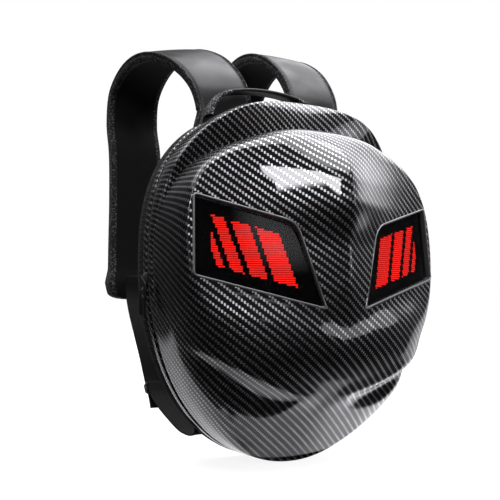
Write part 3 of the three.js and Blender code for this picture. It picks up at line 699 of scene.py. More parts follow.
def edge_at(angle, column):
    """A column of the edge table at an angle, on a smooth curve through the rows."""
    rise = np.degrees(np.arcsin(np.clip(np.sin(angle), -1, 1)))
    places, values = EDGE_ROWS[:, 0], EDGE_ROWS[:, EDGE_COLUMNS.index(column)]
    slopes = np.zeros(len(places))
    slopes[1:-1] = (values[2:] - values[:-2]) / (places[2:] - places[:-2])
    i = np.clip(np.searchsorted(places, rise) - 1, 0, len(places) - 2)
    span = places[i + 1] - places[i]
    t = (rise - places[i]) / span
    return ((1 + 2 * t) * (1 - t) ** 2 * values[i] + t * (1 - t) ** 2 * span * slopes[i]
            + t * t * (3 - 2 * t) * values[i + 1] + t * t * (t - 1) * span * slopes[i + 1])


def around(angle, radius, y):
    radius, y = np.broadcast_to(radius, angle.shape), np.broadcast_to(y, angle.shape)
    return np.stack([radius * np.cos(angle), y, OUTLINE.middle + radius * np.sin(angle)], -1)


def window_axes(side):
    yaw, pitch = math.radians(WINDOW.yaw), math.radians(WINDOW.pitch)
    across = np.array((math.cos(yaw), side * math.sin(yaw), 0.0))
    level = math.cos(pitch)
    out = np.array((side * math.sin(yaw) * level, -math.cos(yaw) * level, math.sin(pitch)))
    return across, np.cross(out, across), out


def facet_depth(x, z):
    _, _, out = window_axes(1.0)
    beside = out[0] * (np.abs(x) - WINDOW.middle[0]) + out[2] * (z - WINDOW.middle[2])
    return WINDOW.middle[1] - beside / out[1]


def relief_at(x, z):
    side = np.abs(x)
    brow = (BROW.height * step_between(z, BROW.low) * (1 - step_between(z, BROW.high))
            * bump_at(side, BROW.half))
    keel = (KEEL.height * np.exp((KEEL.blunt - np.hypot(side, KEEL.blunt)) / KEEL.half)
            * step_between(z, KEEL.low) * (1 - step_between(z, KEEL.high)))
    shelf = (SHELF.height * step_between(SHELF.rise * side - z, SHELF.start)
             * (1 - step_between(-z, SHELF.end)) * (1 - step_between(side, SHELF.side)))
    above = z - (RIDGE.z + RIDGE.lift * (side / RIDGE.half) ** RIDGE.power)
    ridge = (RIDGE.height * bump_at(above, RIDGE.spread)
             * step_between(side, RIDGE.inner) * (1 - step_between(side, RIDGE.side)))
    share = np.maximum(1 - ((side - SCOOP.middle) / SCOOP.half) ** 2, SCOOP.least)
    down = -above / (SCOOP.height * share ** SCOOP.tall_power)
    scoop = (SCOOP.depth * share ** SCOOP.deep_power
             * step_between(down, SCOOP.enter) * (1 - step_between(down, SCOOP.leave)))
    return brow + keel + shelf + ridge - scoop


def face_depth(x, z, height, groove):
    """How far forward the face is at a place whose share of the dome's height is known."""
    dome = groove + (SHELL.apex - groove) * height
    flat = soft_max(dome, facet_depth(x, z), FACET_SOFT)
    chin = CHIN.y + CHIN.slope * (CHIN.z - z) + CHIN.side * x ** 2
    cut = flat + (soft_max(flat, chin, CHIN.soft) - flat) * step_between(height, CHIN.fade)
    return cut - relief_at(x, z) * step_between(height, RELIEF_FADE)


def face_points(angle, tilt):
    full = edge_at(angle, "fullness")
    reach = (np.abs(np.cos(tilt)) ** full + np.abs(np.sin(tilt)) ** full) ** (-1 / full)
    radius = (outline_radius(angle) - edge_at(angle, "inset")) * reach * np.cos(tilt)
    points = around(angle, radius, 0.0)
    height = reach * np.sin(tilt)
    points[..., 1] = face_depth(points[..., 0], points[..., 2], height, edge_at(angle, "groove"))
    return points


def surface_depth(x, z):
    """The y of the shell's face at any x and z inside it."""
    angle = np.arctan2(z - OUTLINE.middle, x)
    full = edge_at(angle, "fullness")
    radius = np.hypot(x, z - OUTLINE.middle) / (outline_radius(angle) - edge_at(angle, "inset"))
    height = (1 - np.clip(radius, 0, 1) ** full) ** (1 / full)
    return face_depth(x, z, height, edge_at(angle, "groove"))


def band_points(angle):
    """The side wall, its bevelled crest and the groove before the face, on a smooth curve."""
    radius, inset, groove, crest = (outline_radius(angle), edge_at(angle, "inset"),
                                    edge_at(angle, "groove"), edge_at(angle, "crest"))
    rise = np.degrees(np.arcsin(np.clip(np.sin(angle), -1, 1)))
    sunk = SHELL.groove_depth * step_between(rise, GROOVE_RISE)
    lip = groove + SHELL.groove_lip
    rows = (
        (radius - SHELL.edge_round, np.full_like(radius, SHELL.back)),
        (radius, np.full_like(radius, SHELL.back - SHELL.edge_deep)),
        (radius, crest),
        *((radius - inwards * inset, crest + forwards * (lip - crest)) for inwards, forwards in BEVEL_ROWS),
        (radius - inset - sunk, lip - SHELL.groove_step),
        (radius - inset, groove),
    )
    knots = np.stack([np.stack(row, -1) for row in rows])
    places = np.linspace(0, len(rows) - 1, (len(rows) - 1) * BAND_STEPS + 1)
    flat = smooth_through(knots, places)
    return np.stack([around(angle, row[:, 0], row[:, 1]) for row in flat])


def inner_points(angle, face):
    """The inside of the shell: the wall's thickness behind the band and the face."""
    radius, inset, groove, crest = (outline_radius(angle), edge_at(angle, "inset"),
                                    edge_at(angle, "groove"), edge_at(angle, "crest"))
    lip = groove + SHELL.groove_lip
    wall = SHELL.wall
    inwards, forwards = BEVEL_ROWS[1]
    bands = [
        around(angle, radius - wall, SHELL.back),
        around(angle, radius - wall, crest + SHELL.inner_crest),
        around(angle, radius - inwards * inset - wall, crest + forwards * (lip - crest) + wall),
        around(angle, radius - inset - SHELL.groove_depth - wall, lip + SHELL.inner_lip),
    ]
    rows = np.linspace(INNER_START, len(face) - 2, INNER_ROWS).astype(int)
    across = np.roll(face, -1, axis=1) - np.roll(face, 1, axis=1)
    down = np.gradient(face, axis=0)
    normal = unit(np.cross(across, down))
    normal *= np.sign(-normal[..., 1:2])
    pole = face[-1:] + np.array((0.0, wall, 0.0))
    return np.concatenate([np.stack(bands), (face - wall * normal)[rows], pole])


def weave_uv(loops):
    """Flat places for the weave: the angle round the middle, with a radius that follows the surface."""
    radius = np.hypot(loops[..., 0], loops[..., 2] - OUTLINE.middle)
    steps = np.linalg.norm(np.diff(loops, axis=0), axis=-1)
    outwards = np.concatenate([np.cumsum(steps[::-1], axis=0)[::-1], 0 * steps[:1]])
    angle = np.arctan2(loops[..., 2] - OUTLINE.middle, loops[..., 0])
    mixed = radius + (outwards - radius) * WEAVE_ARC_SHARE
    angle[-1] = 0
    return np.stack([mixed * np.cos(angle), mixed * np.sin(angle)], -1)


def closed_uv(flat):
    """Repeats the first column and the first row at the end, for a skin that closes both ways."""
    wide = np.concatenate([flat, flat[:, :1]], axis=1)
    return np.concatenate([wide, wide[:1]])


def window_outline(inset):
    """The window's rounded outline, moved inwards, as places across and up in its plane."""
    corners = np.array([corner[:2] for corner in WINDOW_CORNERS])
    ways = unit(np.roll(corners, -1, axis=0) - corners)
    starts = corners + inset * np.stack([-ways[:, 1], ways[:, 0]], -1)
    points = []
    for i, (_, _, rounding) in enumerate(WINDOW_CORNERS):
        before, after = ways[i - 1], ways[i]
        gap = starts[i] - starts[i - 1]
        t = (gap[0] * after[1] - gap[1] * after[0]) / (before[0] * after[1] - before[1] * after[0])
        tip = starts[i - 1] + before * t
        reach = max(1.0, rounding - inset)
        into, away = tip - before * reach, tip + after * reach
        for share in np.linspace(0, 1, CORNER_STEPS):
            points.append(into * (1 - share) ** 2 + 2 * tip * share * (1 - share) + away * share ** 2)
    return np.array(points)


def window_place(flat, height, side):
    """Points in a window's plane, raised by a height, in the pack's own millimetres."""
    across, up, out = window_axes(side)
    middle = WINDOW.middle * np.array((side, 1.0, 1.0))
    height = np.broadcast_to(height, flat.shape[:-1])
    return (middle + side * flat[..., :1] * across + flat[..., 1:] * up + height[..., None] * out)


def shell_height(flat, side):
    """How far the shell's face stands over a window's plane."""
    _, _, out = window_axes(side)
    height = np.zeros(len(flat))
    for _ in range(WINDOW.fit_rounds):
        points = window_place(flat, height, side)
        height += (points[:, 1] - surface_depth(points[:, 0], points[:, 2])) / -out[1]
    return height


# Hard shell and windows
def front_shell():
    angle = np.linspace(0, 2 * np.pi, SHELL_STEPS, endpoint=False)
    band = band_points(angle)
    tilts = np.linspace(0, np.pi / 2, FACE_ROWS)
    face = np.stack([face_points(angle, tilt) for tilt in tilts])
    outer = np.concatenate([band, face[1:]])
    inner = inner_points(angle, face)[::-1]
    flat = np.concatenate([weave_uv(outer), inner[..., ::2]])
    shell = loft("front_shell_skin", np.concatenate([outer, inner]), [FINISHES.shell],
                 uv=closed_uv(flat), join_ends=True, merge=MERGE.loops)
    for name, side in SIDES.items():
        flat = window_outline(0.0)
        loops = np.stack([window_place(flat, height, side) for height in WINDOW.cut])
        cutter = loft(f"cutter_{name}", loops, [FINISHES.shell])
        cut = shell.modifiers.new("window", "BOOLEAN")
        cut.operation = "DIFFERENCE"
        cut.solver = "EXACT"
        cut.object = cutter
        shell = settled(shell)
        bpy.data.objects.remove(cutter)
    sharpen(shell, SHELL.sharp)
    return shell


def visor_frame(name, side):
    """A slim frame that follows the shell's face; its glossy outer lip is painted light grey as a painted
    highlight.
    """
    loops = []
    for inset, above in FRAME_ROWS:
        flat = window_outline(GAP + inset)
        height = WINDOW.frame_back if above is None else shell_height(flat, side) + above
        loops.append(window_place(flat, height, side))
    # Faces on the outer lip get the painted highlight finish
    lip = np.isin(np.arange(len(FRAME_ROWS)), LIP_HIGHLIGHT_ROWS)[:, None]
    piece = loft(f"visor_frame_{name}_lip", np.stack(loops), [FINISHES.frame, FINISHES.lip],
                 zones=lip, join_ends=True)
    sharpen(piece, RING_SHARP)
    return piece


def inside_outline(flat, outline):
    """Which points lie inside a closed outline."""
    inside = np.zeros(len(flat), bool)
    for a, b in zip(outline, np.roll(outline, -1, axis=0)):
        crosses = (a[1] > flat[:, 1]) != (b[1] > flat[:, 1])
        with np.errstate(divide="ignore", invalid="ignore"):
            edge = a[0] + (flat[:, 1] - a[1]) * (b[0] - a[0]) / (b[1] - a[1])
        inside ^= crosses & (flat[:, 0] < edge)
    return inside


def window_lights(name, side):
    """Slanted bars of red dots that get narrower towards the outside, on a board of dark dots."""
    corners = np.array([corner[:2] for corner in WINDOW_CORNERS])
    low, high = corners.min(axis=0), corners.max(axis=0)
    u, v = np.meshgrid(np.arange(low[0], high[0], LIGHT.pitch), np.arange(low[1], high[1], LIGHT.pitch))
    flat = np.stack([u.ravel(), v.ravel()], -1)
    flat = flat[inside_outline(flat, window_outline(WINDOW.display_inset + LIGHT.edge))]
    slant = unit(corners[2] - corners[1])
    beside = (flat - corners[1]) @ np.array((-slant[1], slant[0]))
    in_bar = np.any([(beside > start) & (beside < end) for start, end in LIGHT_BARS], axis=0)
    in_field = inside_outline(flat, window_outline(LIGHT.margin))
    lit = in_bar & in_field & (flat[:, 0] < high[0] - LIGHT.outer_margin)
    across, up, out = window_axes(side)
    turn = Matrix(np.stack([across, up, out], -1).tolist()).to_euler()
    made = []
    for label, chosen, material in (("lit", lit, FINISHES.lit), ("dark", ~lit, FINISHES.unlit)):
        points = window_place(flat[chosen], WINDOW.display_front + LIGHT.deep / 2 - LIGHT.sunk, side)
        mesh = bpy.data.meshes.new(f"lights_{label}")
        mesh.from_pydata((points * MM).tolist(), [], [])
        made.append(grown(f"lights_{label}_{name}", mesh, DOTS, {
            "Width": LIGHT.wide * MM, "Height": LIGHT.high * MM, "Depth": LIGHT.deep * MM,
            "Turn": turn, "Material": material}))
    return made


# Rim, zip and back panel
def ring_angles(steps):
    return np.linspace(0, 2 * np.pi, steps, endpoint=False) - np.pi / 2


def band_piece(name, rows, material, uv_start=0.0):
    """A band round the outline from rows of inset and y; its weave runs outwards from the shell's edge."""
    angle = ring_angles(RING_STEPS)
    loops = np.stack([around(angle, outline_radius(angle) - inset, y) for inset, y in rows])
    lengths = np.concatenate([[0], np.cumsum(np.linalg.norm(np.diff(loops, axis=0), axis=-1).mean(axis=1))])
    radius = outline_radius(angle)[None] + uv_start + lengths[:, None]
    flat = np.stack([radius * np.cos(angle), radius * np.sin(angle)], -1)
    piece = loft(name, loops, [material], uv=closed_uv(flat), join_ends=True)
    sharpen(piece, RING_SHARP)
    return piece


def rear_rim():
    turn = np.linspace(0, math.pi / 2, RIM.round_steps)
    r = RIM.round
    front = [(r - r * math.sin(t), RIM.front + r - r * math.cos(t)) for t in turn]
    back = [(r - r * math.cos(t), RIM.back - r + r * math.sin(t)) for t in turn]
    rows = [(RIM.wall, RIM.front), *front, *back, (RIM.wall, RIM.back)]
    return band_piece("rear_rim_band", rows, FINISHES.shell, uv_start=RIM.weave_start)


def zip_tape():
    outer = RIM.wall + GAP
    inner = outer + TAPE.thickness
    rows = [(outer, TAPE.front), (outer, TAPE.back), (inner, TAPE.back), (inner, TAPE.front)]
    return band_piece("zip_tape_band", rows, FINISHES.tape)


def zip_chain():
    """Two rows of teeth that mesh in the middle."""
    angle = np.radians(np.linspace(CHAIN.start, CHAIN.end, CHAIN.steps))
    out = np.stack([np.cos(angle), 0 * angle, np.sin(angle)], -1)
    made = []
    for label, shift, turn in (("front", -CHAIN.row, 0.0), ("back", CHAIN.row, CHAIN.pitch / 2)):
        slid = angle + turn / outline_radius(angle)
        line = around(slid, outline_radius(slid) - RIM.wall + CHAIN.rise, CHAIN.centre + shift)
        mesh = path_mesh(f"zip_line_{label}", line, out)
        made.append(grown(f"zip_teeth_{label}", mesh, GRAINS, {
            "Pitch": CHAIN.pitch * MM, "Length": TOOTH.length * MM, "Width": TOOTH.width * MM,
            "Height": TOOTH.height * MM, "Material": FINISHES.teeth}))
    return made


def box_loops(rows):
    """Rectangular loops with rounded corners from rows of centre, half sizes and their two directions."""
    loops = []
    turns = np.linspace(0, 2 * np.pi, BOX_STEPS, endpoint=False)
    for centre, half_a, half_b, a, b, square in rows:
        ca, sb = np.cos(turns), np.sin(turns)
        shape_a = np.sign(ca) * np.abs(ca) ** (2 / square) * half_a
        shape_b = np.sign(sb) * np.abs(sb) ** (2 / square) * half_b
        loops.append(np.asarray(centre) + shape_a[:, None] * np.asarray(a) + shape_b[:, None] * np.asarray(b))
    return np.stack(loops)


def side_radius(z):
    """Distance of the outline on the left side, at a height, from the middle."""
    angle = np.pi - np.arcsin((z - OUTLINE.middle) / OUTLINE.half_width)
    return float(outline_radius(np.array([angle]))[0])


def zip_slider(number, z):
    low = side_radius(z) + GAP
    up, back = np.array((0, 0, 1.0)), np.array((0, 1.0, 0))
    rows = []
    for height, share in SLIDER_SHARES:
        wide = share if height < SLIDER.waist else share * SLIDER.bridge
        centre = np.array((-low - height, CHAIN.centre, z))
        rows.append((centre, SLIDER.length / 2 * share, SLIDER.width / 2 * wide, up, back, SLIDER.square))
    return loft(f"zip_slider_{number}_body", box_loops(rows), [FINISHES.metal])


def zip_pull(number, z, shift, length):
    x = -(side_radius(z) + SLIDER.height + 2 * GAP)
    top = z + SLIDER.length * PULL.start
    out, back = np.array((-1.0, 0, 0)), np.array((0, 1.0, 0))
    middle = (length * PULL.middle, PULL.width, 1.0, 1.0)
    tip = [(length - left, wide, 1.0, thick) for left, wide, thick in PULL_TIP]
    rows = []
    for drop, wide, moved, thick in (*PULL_TOP, middle, *tip):
        centre = np.array((x - PULL.thick / 2, CHAIN.centre + moved * shift, top - drop))
        rows.append((centre, PULL.thick / 2 * thick, wide / 2, out, back, PULL.square))
    return loft(f"zip_pull_{number}_tab", box_loops(rows), [FINISHES.rubber])


def stitches(name, points, out, closed=False):
    """A row of stitches along a line of points."""
    return grown(name, path_mesh(name, points, out, closed), GRAINS, {
        "Pitch": STITCH.pitch * MM, "Length": STITCH.length * MM, "Width": STITCH.width * MM,
        "Height": STITCH.height * MM, "Material": FINISHES.thread})


def mesh_points(mesh):
    points = np.empty(len(mesh.vertices) * 3, np.float32)
    mesh.vertices.foreach_get("co", points)
    return points.reshape(-1, 3).astype(float) / MM


def set_mesh_points(mesh, points):
    mesh.vertices.foreach_set("co", (points * MM).astype(np.float32).ravel())
    mesh.update()


def pad_level(points):
    """1 on the seam round each of the two back pads, less inside it and more outside."""
    across = np.abs(np.abs(points[:, 0]) - PAD.x) / PAD.half[0]
    up = np.abs(points[:, 2] - PAD.z) / PAD.half[1]
    return (across ** PAD.power + up ** PAD.power) ** (1 / PAD.power)


def pad_share(points):
    """How free the panel's face is to swell: 0 outside the pads and 1 in their middles."""
    return (1 - step_between(pad_level(points), PAD.rise)) * (points[:, 1] > PANEL_ROWS[-2][1])


def seam_distances(points):
    """Millimetres from the pads' seams and from the border seam."""
    level = pad_level(points)
    ways = np.array(((1.0, 0.0, 0.0), (0.0, 0.0, 1.0)))
    slope = np.hypot(*(pad_level(points + way) - level for way in ways))
    angle = np.arctan2(points[:, 2] - OUTLINE.middle, points[:, 0])
    inset = outline_radius(angle) - np.hypot(points[:, 0], points[:, 2] - OUTLINE.middle)
    return (level - 1) / np.maximum(slope, PAD.least_slope), inset - PAD.border


def swollen(piece):
    """Evens the panel's mesh and lets cloth pressure fill its pads, with everything round them held."""
    even = piece.modifiers.new("even", "REMESH")
    even.mode = "VOXEL"
    even.voxel_size = PAD.voxel * MM
    even.use_smooth_shade = True
    piece = settled(piece)
    before = mesh_points(piece.data)
    share = pad_share(before)
    held = piece.vertex_groups.new(name="held")
    for index, value in enumerate(share):
        held.add([index], 1 - value, "REPLACE")
    cloth = piece.modifiers.new("fill", "CLOTH")
    cloth.settings.use_pressure = True
    cloth.settings.uniform_pressure_force = PAD.pressure
    cloth.settings.vertex_group_mass = "held"
    cloth.settings.effector_weights.gravity = 0
    cloth.point_cache.frame_start = 1
    cloth.point_cache.frame_end = PAD.frames
    for frame_number in range(1, PAD.frames + 1):
        bpy.context.scene.frame_set(frame_number)
    filled = piece.evaluated_get(bpy.context.evaluated_depsgraph_get())
    moved = mesh_points(filled.data) - before
    length = np.linalg.norm(moved, axis=1)
    limit = np.minimum(1, PAD.cap * share / np.maximum(length, PAD.least_move))
    piece.modifiers.remove(cloth)
    bpy.context.scene.frame_set(1)
    set_mesh_points(piece.data, before + moved * limit[:, None])
    finer = piece.modifiers.new("finer", "SUBSURF")
    finer.levels = finer.render_levels = 1
    return settled(piece)


def back_panel():
    """A padded panel with two long pads; seams are pressed in after the pads are filled."""
    angle = ring_angles(PANEL.steps)
    rows = smooth_through(np.array(PANEL_ROWS), np.linspace(0, len(PANEL_ROWS) - 1, PANEL.edge_rows))
    loops = [around(angle, outline_radius(angle) - inset, y) for inset, y in rows]
    inner = outline_radius(angle) - rows[-1][0]
    for share in np.linspace(*PANEL.face, PANEL.face_rows):
        loop = around(angle, inner * share, PANEL_ROWS[-1][1])
        loop[:, 1] -= PAD.sunk * pad_share(loop)
        loops.append(loop)
    piece = loft("back_panel_pad", np.stack(loops), [FINISHES.panel])
    piece = swollen(piece)
    piece.data.materials.clear()
    piece.data.materials.append(FINISHES.panel)
    points = mesh_points(piece.data)
    pads, border = seam_distances(points)
    pressed = PAD.seam * np.maximum(bump_at(pads, PAD.seam_wide), bump_at(border, PAD.seam_wide))
    points[:, 1] -= pressed * (points[:, 1] > PANEL_ROWS[-2][1])
    set_mesh_points(piece.data, points)
    return piece


def panel_stitches(panel):
    """Stitches along the seams of the back panel, laid on its face."""
    tree = BVHTree.FromObject(panel, bpy.context.evaluated_depsgraph_get())
    turn = np.linspace(0, 2 * np.pi, PAD.seam_points, endpoint=False)
    across, up = (np.sign(f) * np.abs(f) ** (2 / PAD.power) for f in (np.cos(turn), np.sin(turn)))
    lines = {}
    for name, side in SIDES.items():
        lines[name] = np.stack([side * PAD.x + across * PAD.half[0], 0 * turn, PAD.z + up * PAD.half[1]], -1)
    lines["border"] = around(turn, outline_radius(turn) - PAD.border, 0.0)
    made = []
    for name, line in lines.items():
        for point in line:
            start = Vector((point[0], PAD.above, point[2])) * MM
            hit = tree.ray_cast(start, Vector((0, -1, 0)))[0]
            point[1] = hit.y / MM
        out = np.tile((0, 1.0, 0), (len(line), 1))
        made.append(stitches(f"back_panel_stitches_{name}", line, out, closed=True))
    return made


# Straps, webbing, buckles and handle
def sweep_axes(centres, tilts):
    """Directions along a strip, across it and out of its face, at each point of its middle line."""
    tangent = unit(np.gradient(centres, axis=0))
    wide = unit(np.array((1.0, 0, 0)) - tangent[:, :1] * tangent)
    flat = np.cross(tangent, wide)
    turn_c, turn_s = np.cos(tilts)[:, None], np.sin(tilts)[:, None]
    wide, flat = wide * turn_c + flat * turn_s, flat * turn_c - wide * turn_s
    return tangent, wide, flat


def swept(centres, axes, sections):
    _, wide, flat = axes
    return centres[:, None] + sections[..., :1] * wide[:, None] + sections[..., 1:] * flat[:, None]


def along_uv(loops):
    """Surface places for a strip: length along it, and round its section."""
    lengths = np.linalg.norm(np.diff(loops.mean(axis=1), axis=0), axis=-1)
    along = np.concatenate([[0], np.cumsum(lengths)])
    ring = np.concatenate([loops, loops[:, :1]], axis=1)
    across = np.concatenate([np.zeros((len(loops), 1)),
                             np.cumsum(np.linalg.norm(np.diff(ring, axis=1), axis=-1), axis=1)], axis=1)
    flat = np.stack([np.broadcast_to(along[:, None], across.shape), across], -1)
    return np.concatenate([flat, flat[:1]])


def strap_face(across, width, thick):
    """How far the crowned face stands out from the strap's middle, at a place across it."""
    share = across / (width / 2 - STRAP.seam_in)
    return thick / 2 - STRAP.face_low + STRAP.crown * (1 - share ** 2) ** STRAP.crown_power


def strap_section(width, thick):
    """Half of the section is worked out and mirrored: crowned face, piped edge, side band and lining."""
    w, t = width / 2, thick / 2
    face = [(a, -strap_face(a, width, thick)) for a in np.linspace(0, w - STRAP.seam_in, STRAP_POINTS.face)]
    seam = [(w - STRAP.seam_in + STRAP.seam[0], -(t - STRAP.seam[1]))]
    p = STRAP.piping
    pipe = [(w - p + p * math.cos(a), -(t - p) - p * math.sin(a))
            for a in np.radians(np.linspace(*STRAP.pipe_turn, STRAP_POINTS.pipe))]
    side = w - STRAP.band_in
    top, bottom = t - STRAP.band[0], t - STRAP.band[1]
    band = [(side + STRAP.band_in * math.sin(math.pi * s), -top + (top + bottom) * s)
            for s in np.linspace(0, 1, STRAP_POINTS.band)]
    c = STRAP.corner
    corner = [(side - c + c * math.cos(a), t - c + c * math.sin(a))
              for a in np.radians(np.linspace(*STRAP.corner_turn, STRAP_POINTS.corner))]
    lining = [(a, t + STRAP.lining_crown * (1 - (a / (side - c)) ** 2))
              for a in np.linspace(side - c, 0, STRAP_POINTS.lining)[1:]]
    half = face + seam + pipe + band + corner + lining
    zones = ([STRAP_ZONES.face] * len(face)
             + [STRAP_ZONES.band] * (len(seam) + len(pipe) + len(band) + len(corner))
             + [STRAP_ZONES.lining] * (len(lining) - 1))
    mirrored = [(-a, b) for a, b in half[1:-1]][::-1]
    return np.array(half + mirrored), np.array(zones + zones[::-1])


def shoulder_strap(name, side):
    rows = STRAP_ROWS[name]
    places = np.linspace(0, len(rows) - 1, STRAP_STEPS)
    centres = smooth_through(rows[:, :3], places)
    width, thick, turn = (np.interp(places, np.arange(len(rows)), column) for column in rows[:, 3:].T)
    axes = sweep_axes(centres, np.radians(side * turn))
    sections = np.stack([strap_section(*size)[0] for size in zip(width, thick)])
    zones = strap_section(width[0], thick[0])[1]
    loops = swept(centres, axes, sections)
    tangent = axes[0]
    caps = []
    for end, way, reach in ((0, -1, STRAP.end_round), (-1, 1, STRAP.roll)):
        turns = np.linspace(0, math.pi / 2, STRAP_END_STEPS + 1)[1:]
        ring = [centres[end] + way * tangent[end] * reach * math.sin(a)
                + (loops[end] - centres[end]) * max(math.cos(a), STRAP.end_least) ** STRAP.end_square
                for a in turns]
        caps.append(np.stack(ring))
    full = np.concatenate([caps[0][::-1], loops, caps[1]])
    pad = loft(f"shoulder_strap_{name}_pad", full, [FINISHES.satin, FINISHES.knit, FINISHES.lining],
               uv=along_uv(full), zones=zones)
    place = width / 2 - STRAP.seam_in - STRAP.stitch_in
    out = strap_face(place, width, thick)
    seams = []
    for label, way in (("in", -side), ("out", side)):
        line = centres + (way * place)[:, None] * axes[1] - out[:, None] * axes[2]
        seams.append(stitches(f"shoulder_strap_{name}_stitches_{label}", line, -axes[2]))
    return pad, seams


def beside_buckle(along, side):
    lean, offset = math.radians(BUCKLE.lean), side * BUCKLE.web
    return (BUCKLE.x, BUCKLE.y - along * math.sin(lean) + offset * math.cos(lean),
            BUCKLE.z - along * math.cos(lean) - offset * math.sin(lean))


def webbing(label, rows, name, side):
    points = [row[1:] if row[0] == "at" else beside_buckle(*row[1:]) for row in rows]
    points = np.array(points) * np.array((side, 1.0, 1.0))
    centres = smooth_through(points, np.linspace(0, len(points) - 1, WEB.steps))
    axes = sweep_axes(centres, np.zeros(len(centres)))
    w, t = WEB.width / 2, WEB.thick / 2
    turn = np.radians(np.linspace(-90, 90, WEB.edge_points))
    edge = [(w - t + t * math.cos(a), t * math.sin(a)) for a in turn]
    top = [(a, t) for a in np.linspace(w - t, -w + t, WEB.face_points)[1:-1]]
    section = np.array(edge + top + [(-a, -b) for a, b in edge] + [(-a, -b) for a, b in top])
    loops = swept(centres, axes, np.broadcast_to(section, (len(centres), *section.shape)))
    return loft(f"{label}_webbing_{name}_tape", loops, [FINISHES.web], uv=along_uv(loops))


def webbing_tack(name, side):
    """The sewn box that holds the lower webbing on the back panel."""
    x, low, high, half, y = TACK.x, TACK.low, TACK.high, TACK.half, TACK.y
    corners = np.array([(x - half, y[1], high), (x + half, y[1], high), (x + half, y[0], low),
                        (x - half, y[0], low)])
    line = np.concatenate([np.linspace(a, b, TACK.side_points, endpoint=False)
                           for a, b in zip(corners, np.roll(corners, -1, axis=0))])
    line = line * np.array((side, 1.0, 1.0))
    out = np.tile((0, 1.0, 0), (len(line), 1))
    return stitches(f"anchor_webbing_{name}_stitches", line, out, closed=True)


def adjuster_buckle(name):
    node = f"adjuster_buckle_{name}"
    piece = with_bevel(cad_copy(node, f"{node}_lock", FINISHES.buckle), BUCKLE.bevel)
    piece.data.polygons.foreach_set("use_smooth", [True] * len(piece.data.polygons))
    sharpen(piece, BUCKLE.sharp)
    return piece


def carry_handle():
    points = np.array([(x, HANDLE.y, z) for x, z in HANDLE_ROWS], float)
    centres = smooth_through(points, np.linspace(0, len(points) - 1, HANDLE.steps))
    tangent = unit(np.gradient(centres, axis=0))
    wide = np.broadcast_to(np.array((0, 1.0, 0)), centres.shape)
    flat = np.cross(tangent, wide)
    turns = np.linspace(0, 2 * np.pi, HANDLE.points, endpoint=False)
    ca, sb = np.cos(turns), np.sin(turns)
    shape = np.stack([np.sign(ca) * np.abs(ca) ** HANDLE.square[0] * HANDLE.width / 2,
                      np.sign(sb) * np.abs(sb) ** HANDLE.square[1] * HANDLE.thick / 2], -1)
    loops = swept(centres, (tangent, wide, flat), np.broadcast_to(shape, (len(centres), *shape.shape)))
    sewn = (np.abs(centres[:-1, 0]) > HANDLE.sewn_end).astype(int)
    zones = np.broadcast_to(sewn[:, None], (len(centres) - 1, len(turns)))
    grip = loft("carry_handle_grip", loops, [FINISHES.rubber, FINISHES.sewn], uv=along_uv(loops), zones=zones)
    seams = []
    for label, place in (("front", -HANDLE.stitch_at[0]), ("back", HANDLE.stitch_at[0])):
        line = centres + place * wide - HANDLE.stitch_at[1] * flat
        seams.append(stitches(f"carry_handle_stitches_{label}", line, -flat))
    return grip, seams


# Put the pieces on the body
def keep(piece, slot, *nodes):
    """Rides a piece on the body and hides the nodes it stands for; the slot is not used."""
    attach(piece, BODY)
    if nodes:
        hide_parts(*nodes)
    return piece


def repaint(node, material):
    """Gives a node that stays in view its finish."""
    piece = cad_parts[node]
    piece.data.materials.clear()
    piece.data.materials.append(material)


keep(front_shell(), "carbon_shell", "front_shell")
keep(rear_rim(), "carbon_shell", "rear_rim")
keep(zip_tape(), "zip_fabric", "zip_tape")
for teeth in zip_chain():
    keep(teeth, "zip_plastic", "zip_chain")
for number, (z, shift, length) in enumerate(SLIDER_ROWS, 1):
    keep(zip_slider(number, z), "zip_metal", f"zip_slider_{number}")
    keep(zip_pull(number, z, shift, length), "handle_rubber", f"zip_pull_{number}")
panel = keep(back_panel(), "panel_fabric", "back_panel")
for row in panel_stitches(panel):
    keep(row, "panel_fabric")
grip, grip_rows = carry_handle()
keep(grip, "handle_rubber", "carry_handle")
for row in grip_rows:
    keep(row, "handle_rubber")
for name, side in SIDES.items():
    keep(visor_frame(name, side), "frame_plastic", f"visor_frame_{name}")
    repaint(f"visor_pane_{name}", FINISHES.pane)
    repaint(f"display_panel_{name}", FINISHES.board)
    for lights in window_lights(name, side):
        keep(lights, "display_board")
    strap, strap_rows = shoulder_strap(name, side)
    keep(strap, "strap_fabric", f"shoulder_strap_{name}")
    for row in strap_rows:
        keep(row, "strap_fabric")
    keep(webbing_tack(name, side), "webbing")
    keep(webbing("adjuster", ADJUSTER_ROWS, name, side), "webbing", f"adjuster_webbing_{name}")
    keep(webbing("anchor", ANCHOR_ROWS, name, side), "webbing", f"anchor_webbing_{name}")
    keep(adjuster_buckle(name), "buckle_plastic", f"adjuster_buckle_{name}")


# Studio
def studio_floor():
    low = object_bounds()[0].z - FLOOR.drop
    half = FLOOR.half
    mesh = bpy.data.meshes.new("studio_floor")
    corners = [(-half, -half, low), (half, -half, low), (half, half, low), (-half, half, low)]
    mesh.from_pydata(corners, [], [(0, 1, 2, 3)])
    floor = link("studio_floor", mesh, [floor_finish()])
    floor.visible_glossy = False
    floor.visible_diffuse = False
    floor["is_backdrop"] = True


def compass(turn, rise):
    """A direction from degrees to the right of the front and degrees above level."""
    turn, rise = math.radians(turn), math.radians(rise)
    return Vector((math.sin(turn) * math.cos(rise), -math.cos(turn) * math.cos(rise), math.sin(rise)))


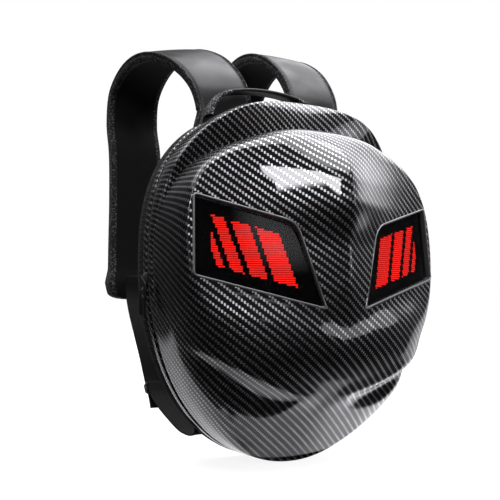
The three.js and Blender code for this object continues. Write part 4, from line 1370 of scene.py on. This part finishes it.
def studio_world():
    """Dark room with soft patches of light round it; the camera sees plain white."""
    world = bpy.data.worlds.new("studio")
    world.use_nodes = True
    tree = world.node_tree
    tree.nodes.clear()
    way = tree_node(tree, "ShaderNodeTexCoord", {}).outputs["Generated"]
    total = ROOM_TONE
    for direction, start, full, strength in ROOM_GLOWS:
        toward = tree_node(tree, "ShaderNodeVectorMath",
                           {0: way, 1: Vector(direction).normalized()}, operation="DOT_PRODUCT")
        patch = tree_node(tree, "ShaderNodeMapRange",
                          {"Value": toward.outputs["Value"], "From Min": start, "From Max": full,
                           "To Min": 0.0, "To Max": strength}, interpolation_type="SMOOTHSTEP")
        added = tree_node(tree, "ShaderNodeMath", {0: patch.outputs["Result"], 1: total}, operation="ADD")
        total = added.outputs[0]
    for places, soft, strength in ROOM_PANELS:
        corners = [compass(*place) for place in places]
        panel_light = strength
        for first, second in zip(corners, corners[1:] + corners[:1]):
            edge = tree_node(tree, "ShaderNodeVectorMath", {0: way, 1: first.cross(second).normalized()},
                             operation="DOT_PRODUCT")
            inside = tree_node(tree, "ShaderNodeMapRange",
                               {"Value": edge.outputs["Value"], "From Min": -soft, "From Max": soft},
                               interpolation_type="SMOOTHSTEP")
            panel_light = tree_node(tree, "ShaderNodeMath", {0: inside.outputs["Result"], 1: panel_light},
                                    operation="MULTIPLY").outputs[0]
        total = tree_node(tree, "ShaderNodeMath", {0: panel_light, 1: total}, operation="ADD").outputs[0]
    room = tree_node(tree, "ShaderNodeBackground", {"Color": grey(1.0), "Strength": total})
    white = tree_node(tree, "ShaderNodeBackground", {"Color": (1, 1, 1, 1), "Strength": 1.0})
    seen = tree_node(tree, "ShaderNodeLightPath", {}).outputs["Is Camera Ray"]
    mixed = tree_node(tree, "ShaderNodeMixShader", {0: seen, 1: room.outputs[0], 2: white.outputs[0]})
    tree_node(tree, "ShaderNodeOutputWorld", {"Surface": mixed.outputs[0]})
    bpy.context.scene.world = world


def camera():
    lens = bpy.data.cameras.new("camera")
    lens.sensor_width = CAMERA.sensor
    lens.lens = CAMERA.lens
    lens.shift_x, lens.shift_y = CAMERA.shift
    lens.clip_start = CAMERA.near
    piece = bpy.data.objects.new("camera", lens)
    bpy.context.scene.collection.objects.link(piece)
    piece.location = CAMERA.place
    piece.rotation_euler = (math.radians(90), 0, math.radians(CAMERA.turn))
    bpy.context.scene.camera = piece


studio_floor()
studio_world()
camera()
view = bpy.context.scene.view_settings
view.view_transform = "Standard"
